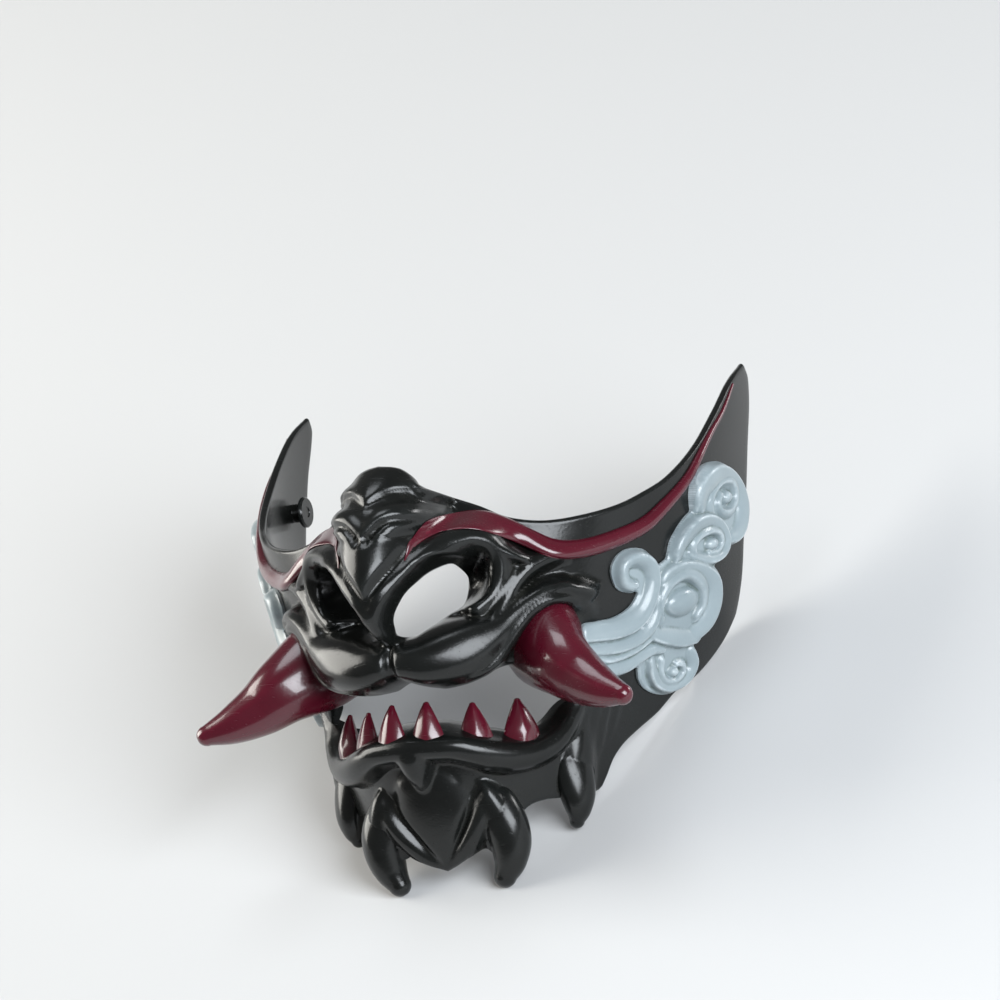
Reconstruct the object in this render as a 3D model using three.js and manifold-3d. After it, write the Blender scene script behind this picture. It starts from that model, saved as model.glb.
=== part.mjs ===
import * as THREE from 'three';
import { mergeVertices } from 'three/addons/utils/BufferGeometryUtils.js';
import Module from 'manifold-3d';

const wasm = await Module();
wasm.setup();

// A moulded half mask: a snarling face guard that covers the nose, cheeks, mouth and jaw.
// It is built as it is worn, x to the wearer's left, y up, z forward, with the origin level with
// the top of the nose, and is then leaned back to the way it lies on a table by itself.

// Driving dimensions, in millimetres and degrees
const faceWidth = 154; // from wing to wing, before the cheeks fill out
const faceHeight = 122; // top of the nose down to the point of the chin
const faceDepth = 110; // front of the face back to the middle of the wearer's head
const wingAngle = 90; // how far each wing wraps round from the middle of the face
const noseRise = 36; // the snout in front of the curve of the face
const mouthAngle = 34.5; // mouth corner, round from the middle of the face
const lipRoll = 2.5; // how far a lip's edge takes to roll back
const wall = 2.5;
const gap = 0.3; // between a piece and the shell that carries it
const nostrilLength = 29;
const nostrilWidth = 12;
const tuskLength = 44; // tip out of the curve of the face
const tuskThickness = 27;
const fangThickness = 12.5;
const spikeThickness = 10.3;
const toothWidth = 9.6;
const toothDepth = 6.4;
const ridgeWidth = 5.6;
const ridgeRise = 3;
const bandWidth = 8; // a band of the scroll cloud
const cloudRise = 4;
const postRadius = 3;
const postHeadRadius = 5;
const postLength = 5;
const postHead = 1.6;

// How finely the shell is meshed
const columnsPerSide = 24;
const upperRows = 15;
const lowerRows = 9;
const refine = 3; // finer grid on which the inside of the wall is worked out

const black = new THREE.MeshStandardMaterial({ color: 0x15171a, roughness: 0.28, metalness: 0 });
const burgundy = new THREE.MeshStandardMaterial({ color: 0x5c1426, roughness: 0.22, metalness: 0 });
const cloudGrey = new THREE.MeshStandardMaterial({ color: 0x94a2ad, roughness: 0.4, metalness: 0 });

// A table row is an object with the named columns
function table(names, ...rows) {
  const keys = names.split(' ');
  return rows.map((row) => Object.fromEntries(keys.map((key, i) => [key, row[i]])));
}

// Smooth curve through the rows of a table: a cubic with the slope of its neighbours at each row
function reader(rows, along, key) {
  const xs = rows.map((row) => row[along]);
  const ys = rows.map((row) => row[key]);
  const last = xs.length - 1;
  const slopes = xs.map((x, i) => {
    const a = Math.max(i - 1, 0);
    const b = Math.min(i + 1, last);
    return (ys[b] - ys[a]) / (xs[b] - xs[a]);
  });
  return (x) => {
    if (x <= xs[0]) return ys[0];
    if (x >= xs[last]) return ys[last];
    let i = 0;
    while (x > xs[i + 1]) i += 1;
    const step = xs[i + 1] - xs[i];
    const t = (x - xs[i]) / step;
    const rest = 1 - t;
    return ys[i] * (1 + 2 * t) * rest * rest + slopes[i] * step * t * rest * rest
      + ys[i + 1] * (3 - 2 * t) * t * t - slopes[i + 1] * step * t * t * rest;
  };
}

// Across: degrees round from the middle. Down: percent of faceHeight below the top of the nose.
// Level sections of the face's curve, half ellipses: half width as a percent of half of faceWidth,
// depth and centre as a percent of faceDepth. Square: percent by which the cheeks fill out.
const SECTIONS = table('down width depth centre square',
  [-15, 98.7, 92.7, -83.6, 6],
  [0, 100, 94.8, -82.9, 6.5],
  [10, 100, 96.4, -82.4, 7.5],
  [20, 100, 97.3, -81.8, 5.5],
  [35, 99.4, 99, -80.7, 1],
  [45, 96.8, 100, -80, -1],
  [55, 91.6, 99.5, -79, -3],
  [65, 85.7, 98.6, -78.2, -4.5],
  [77, 81.8, 95.5, -76.4, -2.5],
  [93, 77.9, 89, -74.6, 0],
  [110, 72.7, 81.8, -72.7, 0]);
const sectionWidth = reader(SECTIONS, 'down', 'width');
const sectionDepth = reader(SECTIONS, 'down', 'depth');
const sectionCentre = reader(SECTIONS, 'down', 'centre');
const sectionSquare = reader(SECTIONS, 'down', 'square');

function faceCurve(across, down) {
  const angle = THREE.MathUtils.degToRad(across);
  const halfWidth = faceWidth / 2 * sectionWidth(down) / 100;
  const depth = faceDepth * sectionDepth(down) / 100;
  const centre = faceDepth * sectionCentre(down) / 100;
  const fill = 1 + sectionSquare(down) / 100 * Math.sin(2 * angle) ** 2;
  const y = -faceHeight * down / 100;
  return new THREE.Vector3(fill * halfWidth * Math.sin(angle), y, centre + fill * depth * Math.cos(angle));
}

function faceNormal(across, down) {
  const round = faceCurve(across + 0.1, down).sub(faceCurve(across - 0.1, down));
  const up = faceCurve(across, down - 0.1).sub(faceCurve(across, down + 0.1));
  return round.cross(up).normalize();
}

function onFace(across, down, height) {
  return faceCurve(across, down).addScaledVector(faceNormal(across, down), height);
}

// Edges of the shell. Rear edge: percent of wingAngle. Share: percent of the way from the middle
// round to the rear edge.
const REAR_EDGE = table('down across',
  [-12.5, 100], [-8, 101.5], [6.5, 96.6], [18.5, 93], [32, 89.7], [42.5, 89], [48.5, 88.9], [110, 88.9]);
const TOP_EDGE = table('share down',
  [0, 1.5], [4.5, 2.5], [7.5, 5], [9.5, 7.3], [12.2, 8.6], [20.5, 12.1], [27.5, 15.7], [36.5, 17.8],
  [46.5, 17.8], [55, 16.7], [61, 14.8], [67.5, 12], [76, 5.5], [83, -2], [90, -8.4], [100, -12.2]);
const BOTTOM_EDGE = table('share down',
  [0, 99.5], [3.5, 98.3], [8, 96.4], [12, 95.4], [16, 96], [22, 91.5], [29, 87], [34.5, 86.2],
  [39, 86.5], [52.5, 86.7], [55.5, 83.7], [58, 80.2], [62, 76.9], [68, 74], [75, 71], [81.5, 66.8],
  [88.5, 64.2], [94.5, 59.4], [98.5, 53.8], [100, 48.5]);
const rearEdge = reader(REAR_EDGE, 'down', 'across');
const rearAngle = (down) => wingAngle * rearEdge(down) / 100;
const topEdge = reader(TOP_EDGE, 'share', 'down');
const bottomEdge = reader(BOTTOM_EDGE, 'share', 'down');

// Mouth: upper and lower lip, share of the way to the mouth corner, and the line on behind it
const UPPER_LIP = table('share down',
  [0, 52.4], [6, 53.3], [18.5, 55], [32.5, 54.6], [46.5, 53], [60, 51.5], [75, 52.5], [90, 57.5], [100, 62]);
const LOWER_LIP = table('share down',
  [0, 64.8], [20, 65.6], [36, 67.3], [52, 69.2], [70, 70.6], [85, 68.4], [100, 62]);
const BEHIND_MOUTH = table('share down', [0, 62], [25, 53.5], [55, 41], [100, 21.5]);
const upperLip = reader(UPPER_LIP, 'share', 'down');
const lowerLip = reader(LOWER_LIP, 'share', 'down');
const behindMouth = reader(BEHIND_MOUTH, 'share', 'down');

// Rolls of flesh that stand out of the face's curve. Rise: percent of noseRise. Reach: half the
// roll's width, percent of faceHeight. Round: 0.5 is a full round, more falls away more softly.
const ROLLS = [
  { name: 'bridge', round: 0.6, rows: table('across down rise reach',
    [0, 6, 60, 9.4], [0, 12, 74, 9.6], [0, 20, 80, 8.6], [0, 28, 84, 6], [0, 36, 86, 4.4]) },
  { name: 'first nose roll', round: 0.55, rows: table('across down rise reach',
    [0, 7.6, 83, 5], [3.2, 7.2, 78, 4.2], [6, 7.8, 62, 3.3], [8.2, 8.3, 28, 2.6]) },
  { name: 'second nose roll', round: 0.55, rows: table('across down rise reach',
    [0, 17.4, 94, 6.2], [3, 14.6, 86, 5.3], [5.9, 12.8, 68, 4.2], [8.2, 11.6, 32, 3.2]) },
  { name: 'nose tip', round: 0.6, rows: table('across down rise reach',
    [0, 32, 104, 6.6], [2.4, 26, 97, 6], [4.9, 20.4, 82, 4.6], [7.6, 16.2, 48, 3]) },
  { name: 'nostril rim', round: 0.5, rows: table('across down rise reach',
    [0, 39.6, 94, 4.6], [3, 36, 94, 4.4], [5.4, 30, 90, 4], [8, 25.6, 79, 3.8], [10.6, 21.2, 62, 3.6],
    [14, 20.2, 48, 3.4], [17.6, 21.5, 40, 3.2], [19.9, 24.6, 33, 3.1], [20.1, 28.6, 30, 3.1],
    [18.4, 33, 30, 3.1],
    [14.8, 37.4, 37, 3.2]) },
  { name: 'lip', round: 0.6, rows: table('across down rise reach',
    [2, 48.5, 64, 6.5], [6, 49, 62, 7], [10, 48.3, 56, 7.2], [14.6, 46.2, 48, 6.6], [17.8, 43.6, 40, 5.4],
    [19.4, 39.8, 34, 4.2], [22.4, 35.5, 29, 3.7], [26.2, 31.5, 25, 3.4], [30.5, 27.4, 22, 3]) },
  { name: 'tusk rim', round: 0.5, rows: table('across down rise reach',
    [10.8, 53, 42, 3.2], [14.9, 50.9, 40, 3.4], [17.9, 47.9, 38, 3.4], [21, 43, 35, 3.3],
    [24.2, 38.8, 32, 3.3],
    [29, 34.6, 29, 3.2], [33.5, 35, 25, 3], [39.4, 38.2, 20, 2.8], [41.5, 43.5, 14, 2.6]) },
  { name: 'cheek fold', round: 0.6, rows: table('across down rise reach',
    [28.2, 26.6, 17, 2], [22.4, 31.9, 21, 2.2], [19.1, 36.9, 25, 2.4], [15.5, 41.1, 29, 2.6]) },
  { name: 'lower lip', round: 0.5, rows: table('across down rise reach',
    [0, 69.2, 46, 4.8], [3.3, 67.9, 47, 3.5], [6.7, 68.1, 47, 3.2], [10.5, 70.3, 43, 3.4],
    [15.2, 72.6, 39, 3.5],
    [22, 74.2, 34, 3.3], [27, 73.5, 28, 3.4], [31, 71, 24, 3.6], [35.2, 67, 19, 3.6], [38, 61.5, 15, 3],
    [39.5, 56, 12, 2.6]) },
  { name: 'lip dip', round: 0.6, rows: table('across down rise reach',
    [0, 71, 46, 3.4], [0, 74.5, 38, 2.2]) },
  { name: 'first corner fold', round: 0.6, rows: table('across down rise reach',
    [41.5, 54, 12, 2], [41, 63, 15, 2.2], [39.5, 73, 15, 2.4], [37, 80, 12, 2.8]) },
  { name: 'second corner fold', round: 0.6, rows: table('across down rise reach',
    [45, 55, 8, 1.8], [44.6, 64.4, 10, 2], [43, 74.5, 9, 2], [41, 82, 6, 2.4]) },
  { name: 'chin leaf', round: 0.7, rows: table('across down rise reach',
    [22, 78, 18, 3.2], [16.5, 78.5, 24, 4], [13.4, 84, 26, 4.8], [14.5, 91, 24, 4.2]) },
  { name: 'chin', round: 1, rows: table('across down rise reach',
    [0, 78, 26, 9], [0, 88, 25, 9], [0, 98, 18, 8]) },
];
const rollBlend = 1.2; // how softly neighbouring rolls meet

// Wide swell of the muzzle under the rolls
const MUZZLE = { down: 61, rise: 25, spreadAcross: 36, spreadDown: 34 };
// Hollow inside each nostril, and the groove down the middle of the upper lip
const HOLLOWS = [
  { name: 'nostril', rows: table('across down rise reach',
    [5.4, 40.6, 24, 3], [7.4, 36.4, 34, 4.4], [10.6, 31.5, 34, 5], [14.4, 27.6, 28, 4.4]) },
  { name: 'lip groove', rows: table('across down rise reach',
    [0, 44, 8, 2], [0, 50, 10, 1.8], [0, 56, 4, 1.5]) },
];

// Points along a smooth line through a roll's rows, each with its place, rise and reach
function trace(rows, perStep = 4) {
  const turns = rows.map((row, turn) => ({ ...row, turn }));
  const keys = ['across', 'down', 'rise', 'reach'];
  const read = Object.fromEntries(keys.map((key) => [key, reader(turns, 'turn', key)]));
  const count = (rows.length - 1) * perStep;
  return Array.from({ length: count + 1 }, (_, i) => {
    const turn = i / perStep;
    const place = faceCurve(read.across(turn), read.down(turn));
    return { place, rise: noseRise * read.rise(turn) / 100, reach: faceHeight * read.reach(turn) / 100 };
  });
}

// Height of a roll at a place on the face's curve: its profile at the nearest point of its line
function profile(line, round, place) {
  let best = 0;
  for (let i = 0; i + 1 < line.length; i += 1) {
    const [a, b] = [line[i], line[i + 1]];
    const step = b.place.clone().sub(a.place);
    const t = THREE.MathUtils.clamp(place.clone().sub(a.place).dot(step) / step.lengthSq(), 0, 1);
    const reach = THREE.MathUtils.lerp(a.reach, b.reach, t);
    const off = a.place.clone().addScaledVector(step, t).distanceTo(place) / reach;
    if (off < 1) best = Math.max(best, THREE.MathUtils.lerp(a.rise, b.rise, t) * (1 - off * off) ** round);
  }
  return best;
}

function softMax(a, b, blend) {
  const overlap = Math.max(blend - Math.abs(a - b), 0);
  return Math.max(a, b) + overlap * overlap / (4 * blend);
}

const rollLines = ROLLS.map((roll) => ({ round: roll.round, line: trace(roll.rows) }));
const hollowLines = HOLLOWS.map((hollow) => trace(hollow.rows));
const hollowRound = 1.5;

// The shell's grid. Share: percent of the way from the middle round to the wing's rear edge.
const mouthShare = 100 * mouthAngle / rearAngle(BEHIND_MOUTH[0].down);
const lipEdge = 0.28; // height of a lip's rolled edge, share of its height in front
const lipSteps = [0, 0.1, 0.4, 1]; // rows where a lip rolls back, shares of lipRoll

function columnShare(column) {
  const part = column / columnsPerSide;
  return 100 * (0.45 * part + 0.55 * part * part);
}
const offMouth = (column) => Math.abs(columnShare(column) - mouthShare);
const mouthColumn = Array.from({ length: columnsPerSide }, (_, i) => i)
  .reduce((best, i) => (offMouth(i) < offMouth(best) ? i : best));
const cornerShare = columnShare(mouthColumn);

// Down of the lips at a share: their two edges over the mouth, one line behind it
function mouthEdges(share) {
  if (share < cornerShare) {
    const part = 100 * share / cornerShare;
    return [upperLip(part), lowerLip(part)];
  }
  const down = behindMouth(100 * (share - cornerShare) / (100 - cornerShare));
  return [down, down];
}

// Height of the outer surface over the face's curve, the same on both sides
function relief(across, down) {
  const side = Math.abs(across);
  const place = faceCurve(side, down);
  const round = side / MUZZLE.spreadAcross;
  const low = (down - MUZZLE.down) / MUZZLE.spreadDown;
  let height = noseRise * MUZZLE.rise / 100 * Math.exp(-round * round - low * low);
  for (const roll of rollLines) height = softMax(height, profile(roll.line, roll.round, place), rollBlend);
  for (const line of hollowLines) height -= profile(line, hollowRound, place);
  const [upper, lower] = mouthEdges(100 * side / rearAngle(down));
  const open = Math.min(1, (lower - upper) * faceHeight / 100 / (2 * lipRoll));
  const inset = Math.min(Math.abs(down - upper), Math.abs(down - lower)) * faceHeight / 100;
  const rolled = Math.sqrt(1 - (1 - Math.min(inset / lipRoll, 1)) ** 2);
  return height * (1 - open * (1 - lipEdge) * (1 - rolled));
}

// Downs of a block's rows, evenly spaced but close together where a lip rolls back
function rowDowns(from, to, rows, rollAtStart) {
  const roll = 100 * lipRoll / faceHeight;
  const stepped = lipSteps.length - 1;
  const even = Array.from({ length: rows - stepped + 1 },
    (_, i) => roll + (to - from - roll) * i / (rows - stepped));
  const insets = [...lipSteps.slice(0, -1).map((step) => step * roll), ...even];
  return rollAtStart ? insets.map((inset) => from + inset) : insets.map((inset) => to - inset).reverse();
}

// One column of the grid: the downs of its upper block and of its lower block
function columnDowns(share) {
  const [upper, lower] = mouthEdges(share);
  return [
    rowDowns(topEdge(share), upper, upperRows, false),
    rowDowns(lower, bottomEdge(share), lowerRows, true),
  ];
}

// A finer grid of places on the face's curve with their heights, for working out the inside
function between(values, at) {
  const i = Math.min(Math.floor(at), values.length - 2);
  return THREE.MathUtils.lerp(values[i], values[i + 1], at - i);
}
const fineColumns = Array.from({ length: columnsPerSide * refine + 1 }, (_, i) => {
  const share = columnShare(i / refine);
  return columnDowns(share).map((downs) => {
    const count = (downs.length - 1) * refine;
    return Array.from({ length: count + 1 }, (__, j) => {
      const down = between(downs, j / refine);
      const across = share / 100 * rearAngle(down);
      return { place: faceCurve(across, down), height: relief(across, down) };
    });
  });
});

// Height at a row of the coarser grid, evened out over its neighbours on the finer one
function easedHeight(column, block, row) {
  const heights = [];
  for (let i = column * refine - 1; i <= column * refine + 1; i += 1) {
    const samples = fineColumns[Math.min(Math.abs(i), fineColumns.length - 1)][block];
    for (let j = row * refine - 1; j <= row * refine + 1; j += 1) {
      heights.push(samples[THREE.MathUtils.clamp(j, 0, samples.length - 1)].height);
    }
  }
  return heights.reduce((sum, height) => sum + height, 0) / heights.length;
}

// Inside of the wall: as deep as a ball of the wall's size needs, rolled under the outside
function innerHeight(column, place) {
  let height = Infinity;
  const near = 4 * refine;
  for (let i = column * refine - near; i <= column * refine + near; i += 1) {
    const blocks = fineColumns[Math.abs(i)];
    if (!blocks) continue;
    for (const sample of blocks.flat()) {
      const dx = (i < 0 ? -sample.place.x : sample.place.x) - place.x;
      const dy = sample.place.y - place.y;
      const dz = sample.place.z - place.z;
      const square = wall * wall - dx * dx - dy * dy - dz * dz;
      if (square > 0) height = Math.min(height, sample.height - Math.sqrt(square));
    }
  }
  return height;
}

// Every vertex of the grid once: across, down and its two heights, and the faces between them
function shellGrid() {
  const vertices = [];
  const ids = new Map();
  for (let column = -columnsPerSide; column <= columnsPerSide; column += 1) {
    const side = Math.abs(column);
    const share = columnShare(side);
    columnDowns(share).forEach((downs, block) => downs.forEach((down, row) => {
      const joined = block === 1 && row === 0 && side >= mouthColumn;
      const id = joined ? ids.get(`${column} 0 ${upperRows}`) : vertices.length;
      ids.set(`${column} ${block} ${row}`, id);
      if (joined) return;
      const across = share / 100 * rearAngle(down);
      const twin = column > 0 ? vertices[ids.get(`${-column} ${block} ${row}`)] : null;
      const outer = twin ? twin.outer : easedHeight(side, block, row);
      const inner = twin ? twin.inner : Math.min(innerHeight(side, faceCurve(across, down)), outer - wall);
      const turned = column < 0 ? -across : across;
      vertices.push({ across: turned, down, outer, inner, place: faceCurve(turned, down) });
    }));
  }
  const faces = [];
  for (let column = -columnsPerSide; column < columnsPerSide; column += 1) {
    [upperRows, lowerRows].forEach((rows, block) => {
      for (let row = 0; row < rows; row += 1) {
        const corner = (c, r) => ids.get(`${c} ${block} ${r}`);
        const [a, b] = [corner(column, row), corner(column + 1, row)];
        const [c, d] = [corner(column, row + 1), corner(column + 1, row + 1)];
        const [p, q, r, s] = [a, b, c, d].map((id) => vertices[id]);
        const mean = (key) => (p[key] + q[key] + r[key] + s[key]) / 4;
        const middle = relief(mean('across'), mean('down'));
        const off = (one, other) => Math.abs((one.outer + other.outer) / 2 - middle);
        if (off(p, s) < off(q, r)) faces.push([a, c, d], [a, d, b]);
        else faces.push([a, c, b], [b, c, d]);
      }
    });
  }
  return { vertices, faces };
}

// Closed solid between an outer and an inner copy of the grid, with a rim along every open edge
function solidBetween(faces, outer, inner) {
  const points = [...outer, ...inner];
  const under = outer.length;
  const triangles = [];
  const open = new Map();
  for (const face of faces) {
    triangles.push(face, [face[2] + under, face[1] + under, face[0] + under]);
    face.forEach((from, i) => {
      const to = face[(i + 1) % 3];
      if (!open.delete(`${to} ${from}`)) open.set(`${from} ${to}`, [from, to]);
    });
  }
  for (const [from, to] of open.values()) {
    triangles.push([to, from, from + under], [to, from + under, to + under]);
  }
  return solidOf(points, triangles);
}

function solidOf(points, triangles) {
  return new wasm.Manifold(new wasm.Mesh({
    numProp: 3,
    vertProperties: new Float32Array(points.flatMap((point) => point.toArray())),
    triVerts: new Uint32Array(triangles.flat()),
  }));
}

function solidOfGeometry(geometry) {
  const bare = geometry.clone();
  bare.deleteAttribute('normal');
  bare.deleteAttribute('uv');
  const merged = mergeVertices(bare, 1e-4);
  return new wasm.Manifold(new wasm.Mesh({
    numProp: 3,
    vertProperties: Float32Array.from(merged.attributes.position.array),
    triVerts: Uint32Array.from(merged.index.array),
  }));
}

function geometryOf(solid) {
  const mesh = solid.getMesh();
  const geometry = new THREE.BufferGeometry();
  geometry.setAttribute('position', new THREE.BufferAttribute(new Float32Array(mesh.vertProperties), 3));
  geometry.setIndex(new THREE.BufferAttribute(new Uint32Array(mesh.triVerts), 1));
  geometry.computeVertexNormals();
  return geometry;
}

// Sections of limbs and bands: across as shares of the half width, out as shares of the thickness
const ring = (sides) => Array.from({ length: sides }, (_, k) => {
  const angle = 2 * Math.PI * k / sides;
  return [Math.cos(angle), Math.sin(angle)];
});
const LOW_BAND = [[1, -0.8], [0.62, 1], [-0.62, 1], [-1, -0.8]];
const ROUND_BAND = [[1, -0.8], [0.7, 0.66], [0, 1], [-0.7, 0.66], [-1, -0.8]];

// A limb swept along a smooth line. Rows: place, the way out of the face there, half width across
// and half thickness out of the face.
function limb(rows, section, steps) {
  const line = new THREE.CatmullRomCurve3(rows.map((row) => row.place));
  const turns = rows.map((row, turn) => ({ ...row, turn }));
  const [wide, thick] = ['wide', 'thick'].map((key) => reader(turns, 'turn', key));
  const sides = section.length;
  const points = [];
  for (let i = 0; i <= steps; i += 1) {
    const at = i / steps;
    const turn = at * (rows.length - 1);
    const along = line.getTangent(at);
    const out = outAt(rows, turn).cross(along).cross(along).negate().normalize();
    const side = out.clone().cross(along);
    for (const [x, y] of section) {
      const middle = line.getPoint(at);
      points.push(middle.addScaledVector(side, wide(turn) * x).addScaledVector(out, thick(turn) * y));
    }
  }
  const triangles = [];
  for (let i = 0; i < steps; i += 1) {
    for (let k = 0; k < sides; k += 1) {
      const [a, b] = [i * sides + k, i * sides + (k + 1) % sides];
      triangles.push([a, b, b + sides], [a, b + sides, a + sides]);
    }
  }
  for (let k = 1; k + 1 < sides; k += 1) {
    triangles.push([0, k + 1, k]);
    triangles.push([steps * sides, steps * sides + k, steps * sides + k + 1]);
  }
  const solid = solidOf(points, triangles);
  return solid.volume() < 0 ? solidOf(points, triangles.map(([a, b, c]) => [a, c, b])) : solid;
}

function outAt(rows, turn) {
  const i = Math.min(Math.floor(turn), rows.length - 2);
  return rows[i].out.clone().lerp(rows[i + 1].out, turn - i);
}

// Pieces on the shell are cut back to its skin, and posts to its inside, with the gap between
const grid = shellGrid();
const skin = (lift) => grid.vertices.map((v) => onFace(v.across, v.down, v.outer + lift));
const inside = (lift) => grid.vertices.map((v) => onFace(v.across, v.down, v.inner - lift));

// Height of the meshed skin near a place, evened out over the vertices around it
function skinHeight(across, down) {
  const place = faceCurve(across, down);
  let [sum, weight] = [0, 0];
  for (const v of grid.vertices) {
    const share = Math.exp(-v.place.distanceToSquared(place) / (wall * wall));
    sum += share * v.outer;
    weight += share;
  }
  return sum / weight;
}

function vertexNormals(points, faces) {
  const normals = points.map(() => new THREE.Vector3());
  for (const [a, b, c] of faces) {
    const normal = points[b].clone().sub(points[a]).cross(points[c].clone().sub(points[a]));
    for (const id of [a, b, c]) normals[id].add(normal);
  }
  return normals.map((normal) => normal.normalize());
}
const outerPoints = skin(0);
const innerPoints = inside(0);
const outward = vertexNormals(outerPoints, grid.faces);
const lifted = outerPoints.map((point, i) => point.clone().addScaledVector(outward[i], gap));
const deep = 14;
const skinCutter = solidBetween(grid.faces, lifted, lifted.map((point, i) => {
  const v = grid.vertices[i];
  return point.clone().addScaledVector(faceNormal(v.across, v.down), -v.outer - deep);
}));
const insideCutter = solidBetween(grid.faces, skin(deep), inside(gap));

// Limbs: fangs and spikes moulded with the shell, tusks and teeth of their own. Height over the
// face's curve as a percent of noseRise, or of tuskLength on a tusk; wide and thick as a percent
// of the limb's own thickness, or of its width and depth on a tooth.
const FANG = table('across down height wide thick',
  [18.4, 80, 10, 96, 96], [17.8, 87, 16, 102, 100], [17, 92.5, 19, 92, 90], [15.2, 97.7, 20, 64, 62],
  [12.1, 102.8, 24, 14, 14]);
const SPIKE = table('across down height wide thick',
  [36.6, 78, 3, 96, 90], [36, 84, 4, 98, 90], [35.4, 90, 4, 64, 62], [34.7, 94.5, 3, 14, 14]);
const TUSK = table('across down height wide thick',
  [29.4, 46.6, -6, 84, 102], [29, 47.7, 10, 80, 100], [28.8, 49.5, 37, 67, 79], [30.2, 51.6, 57, 55, 61],
  [31.4, 52.6, 80, 38, 41], [32.8, 52.2, 100, 11, 12]);
const TOOTH = table('rise height wide thick',
  [-2.4, 0, 96, 100], [1.5, 0, 88, 92], [5.2, -3, 56, 62], [8.6, -8, 12, 16]);
const TEETH = table('across down height size',
  [3.6, 65.6, 35, 96], [12.4, 67.4, 22, 98], [22.6, 70.4, 15, 106]);
const TUSK_SECTION = new THREE.Vector3(0.53, 0.84, 0.1); // the long way across a tusk's root

function limbRows(rows, length, width, thickness, out) {
  return rows.map((row) => ({
    place: onFace(row.across, row.down, length * row.height / 100),
    out: out ?? faceNormal(row.across, row.down),
    wide: width / 2 * row.wide / 100,
    thick: thickness / 2 * row.thick / 100,
  }));
}
const mirrored = (solid) => solid.mirror([1, 0, 0]);

// A nostril is cut straight through from the front, a slanted oval
const NOSTRIL = { across: 9.6, down: 33.6, height: 60, slant: 41 };

function nostrilCutter() {
  const oval = new THREE.Shape();
  oval.absellipse(0, 0, nostrilWidth / 2, nostrilLength / 2, 0, 2 * Math.PI);
  const through = { depth: 2 * noseRise, bevelEnabled: false, curveSegments: 7 };
  const geometry = new THREE.ExtrudeGeometry(oval, through);
  geometry.rotateZ(-THREE.MathUtils.degToRad(NOSTRIL.slant));
  const centre = onFace(NOSTRIL.across, NOSTRIL.down, noseRise * NOSTRIL.height / 100);
  geometry.translate(centre.x, centre.y, centre.z - noseRise);
  return solidOfGeometry(geometry);
}

function shellSolid() {
  let solid = solidBetween(grid.faces, outerPoints, innerPoints);
  for (const [rows, thickness] of [[FANG, fangThickness], [SPIKE, spikeThickness]]) {
    const horn = limb(limbRows(rows, noseRise, thickness, thickness), ring(8), 6);
    solid = solid.add(horn).add(mirrored(horn));
  }
  const nostril = nostrilCutter();
  return solid.subtract(nostril).subtract(mirrored(nostril));
}

function tusk(grow) {
  const thickness = tuskThickness + 2 * grow;
  return limb(limbRows(TUSK, tuskLength, thickness, thickness, TUSK_SECTION), ring(8), 7);
}

function toothSolid(tooth) {
  const rows = TOOTH.map((row) => ({
    ...row, across: tooth.across, down: tooth.down - row.rise, height: tooth.height + row.height,
  }));
  const size = tooth.size / 100;
  const stations = limbRows(rows, noseRise, toothWidth * size, toothDepth * size);
  return limb(stations, ring(7), 3).subtract(skinCutter);
}

// The brow ridge lies on the skin. Size: percent of ridgeWidth and ridgeRise.
const RIDGE = table('across down size',
  [4.7, 25.8, 44], [6.3, 21.3, 60], [8.2, 17.4, 72], [11, 15.4, 84], [15.7, 15, 96], [19.4, 16, 100],
  [23, 18.3, 100], [26.5, 20.8, 100], [31.3, 24.1, 100], [36.4, 25.2, 100], [42.2, 24.8, 98],
  [50.5, 22.4, 90], [56.2, 18.1, 78], [62.1, 12.9, 66], [67, 7.1, 54], [71, 2.9, 44], [76.3, -1.5, 34],
  [82.5, -7.5, 20]);

function ridge(grow) {
  const rows = RIDGE.map((row) => ({
    place: onFace(row.across, row.down, skinHeight(row.across, row.down)),
    out: faceNormal(row.across, row.down),
    wide: ridgeWidth / 2 * row.size / 100 + grow,
    thick: ridgeRise * row.size / 100 + grow,
  }));
  return limb(rows, ROUND_BAND, 16);
}

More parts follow.
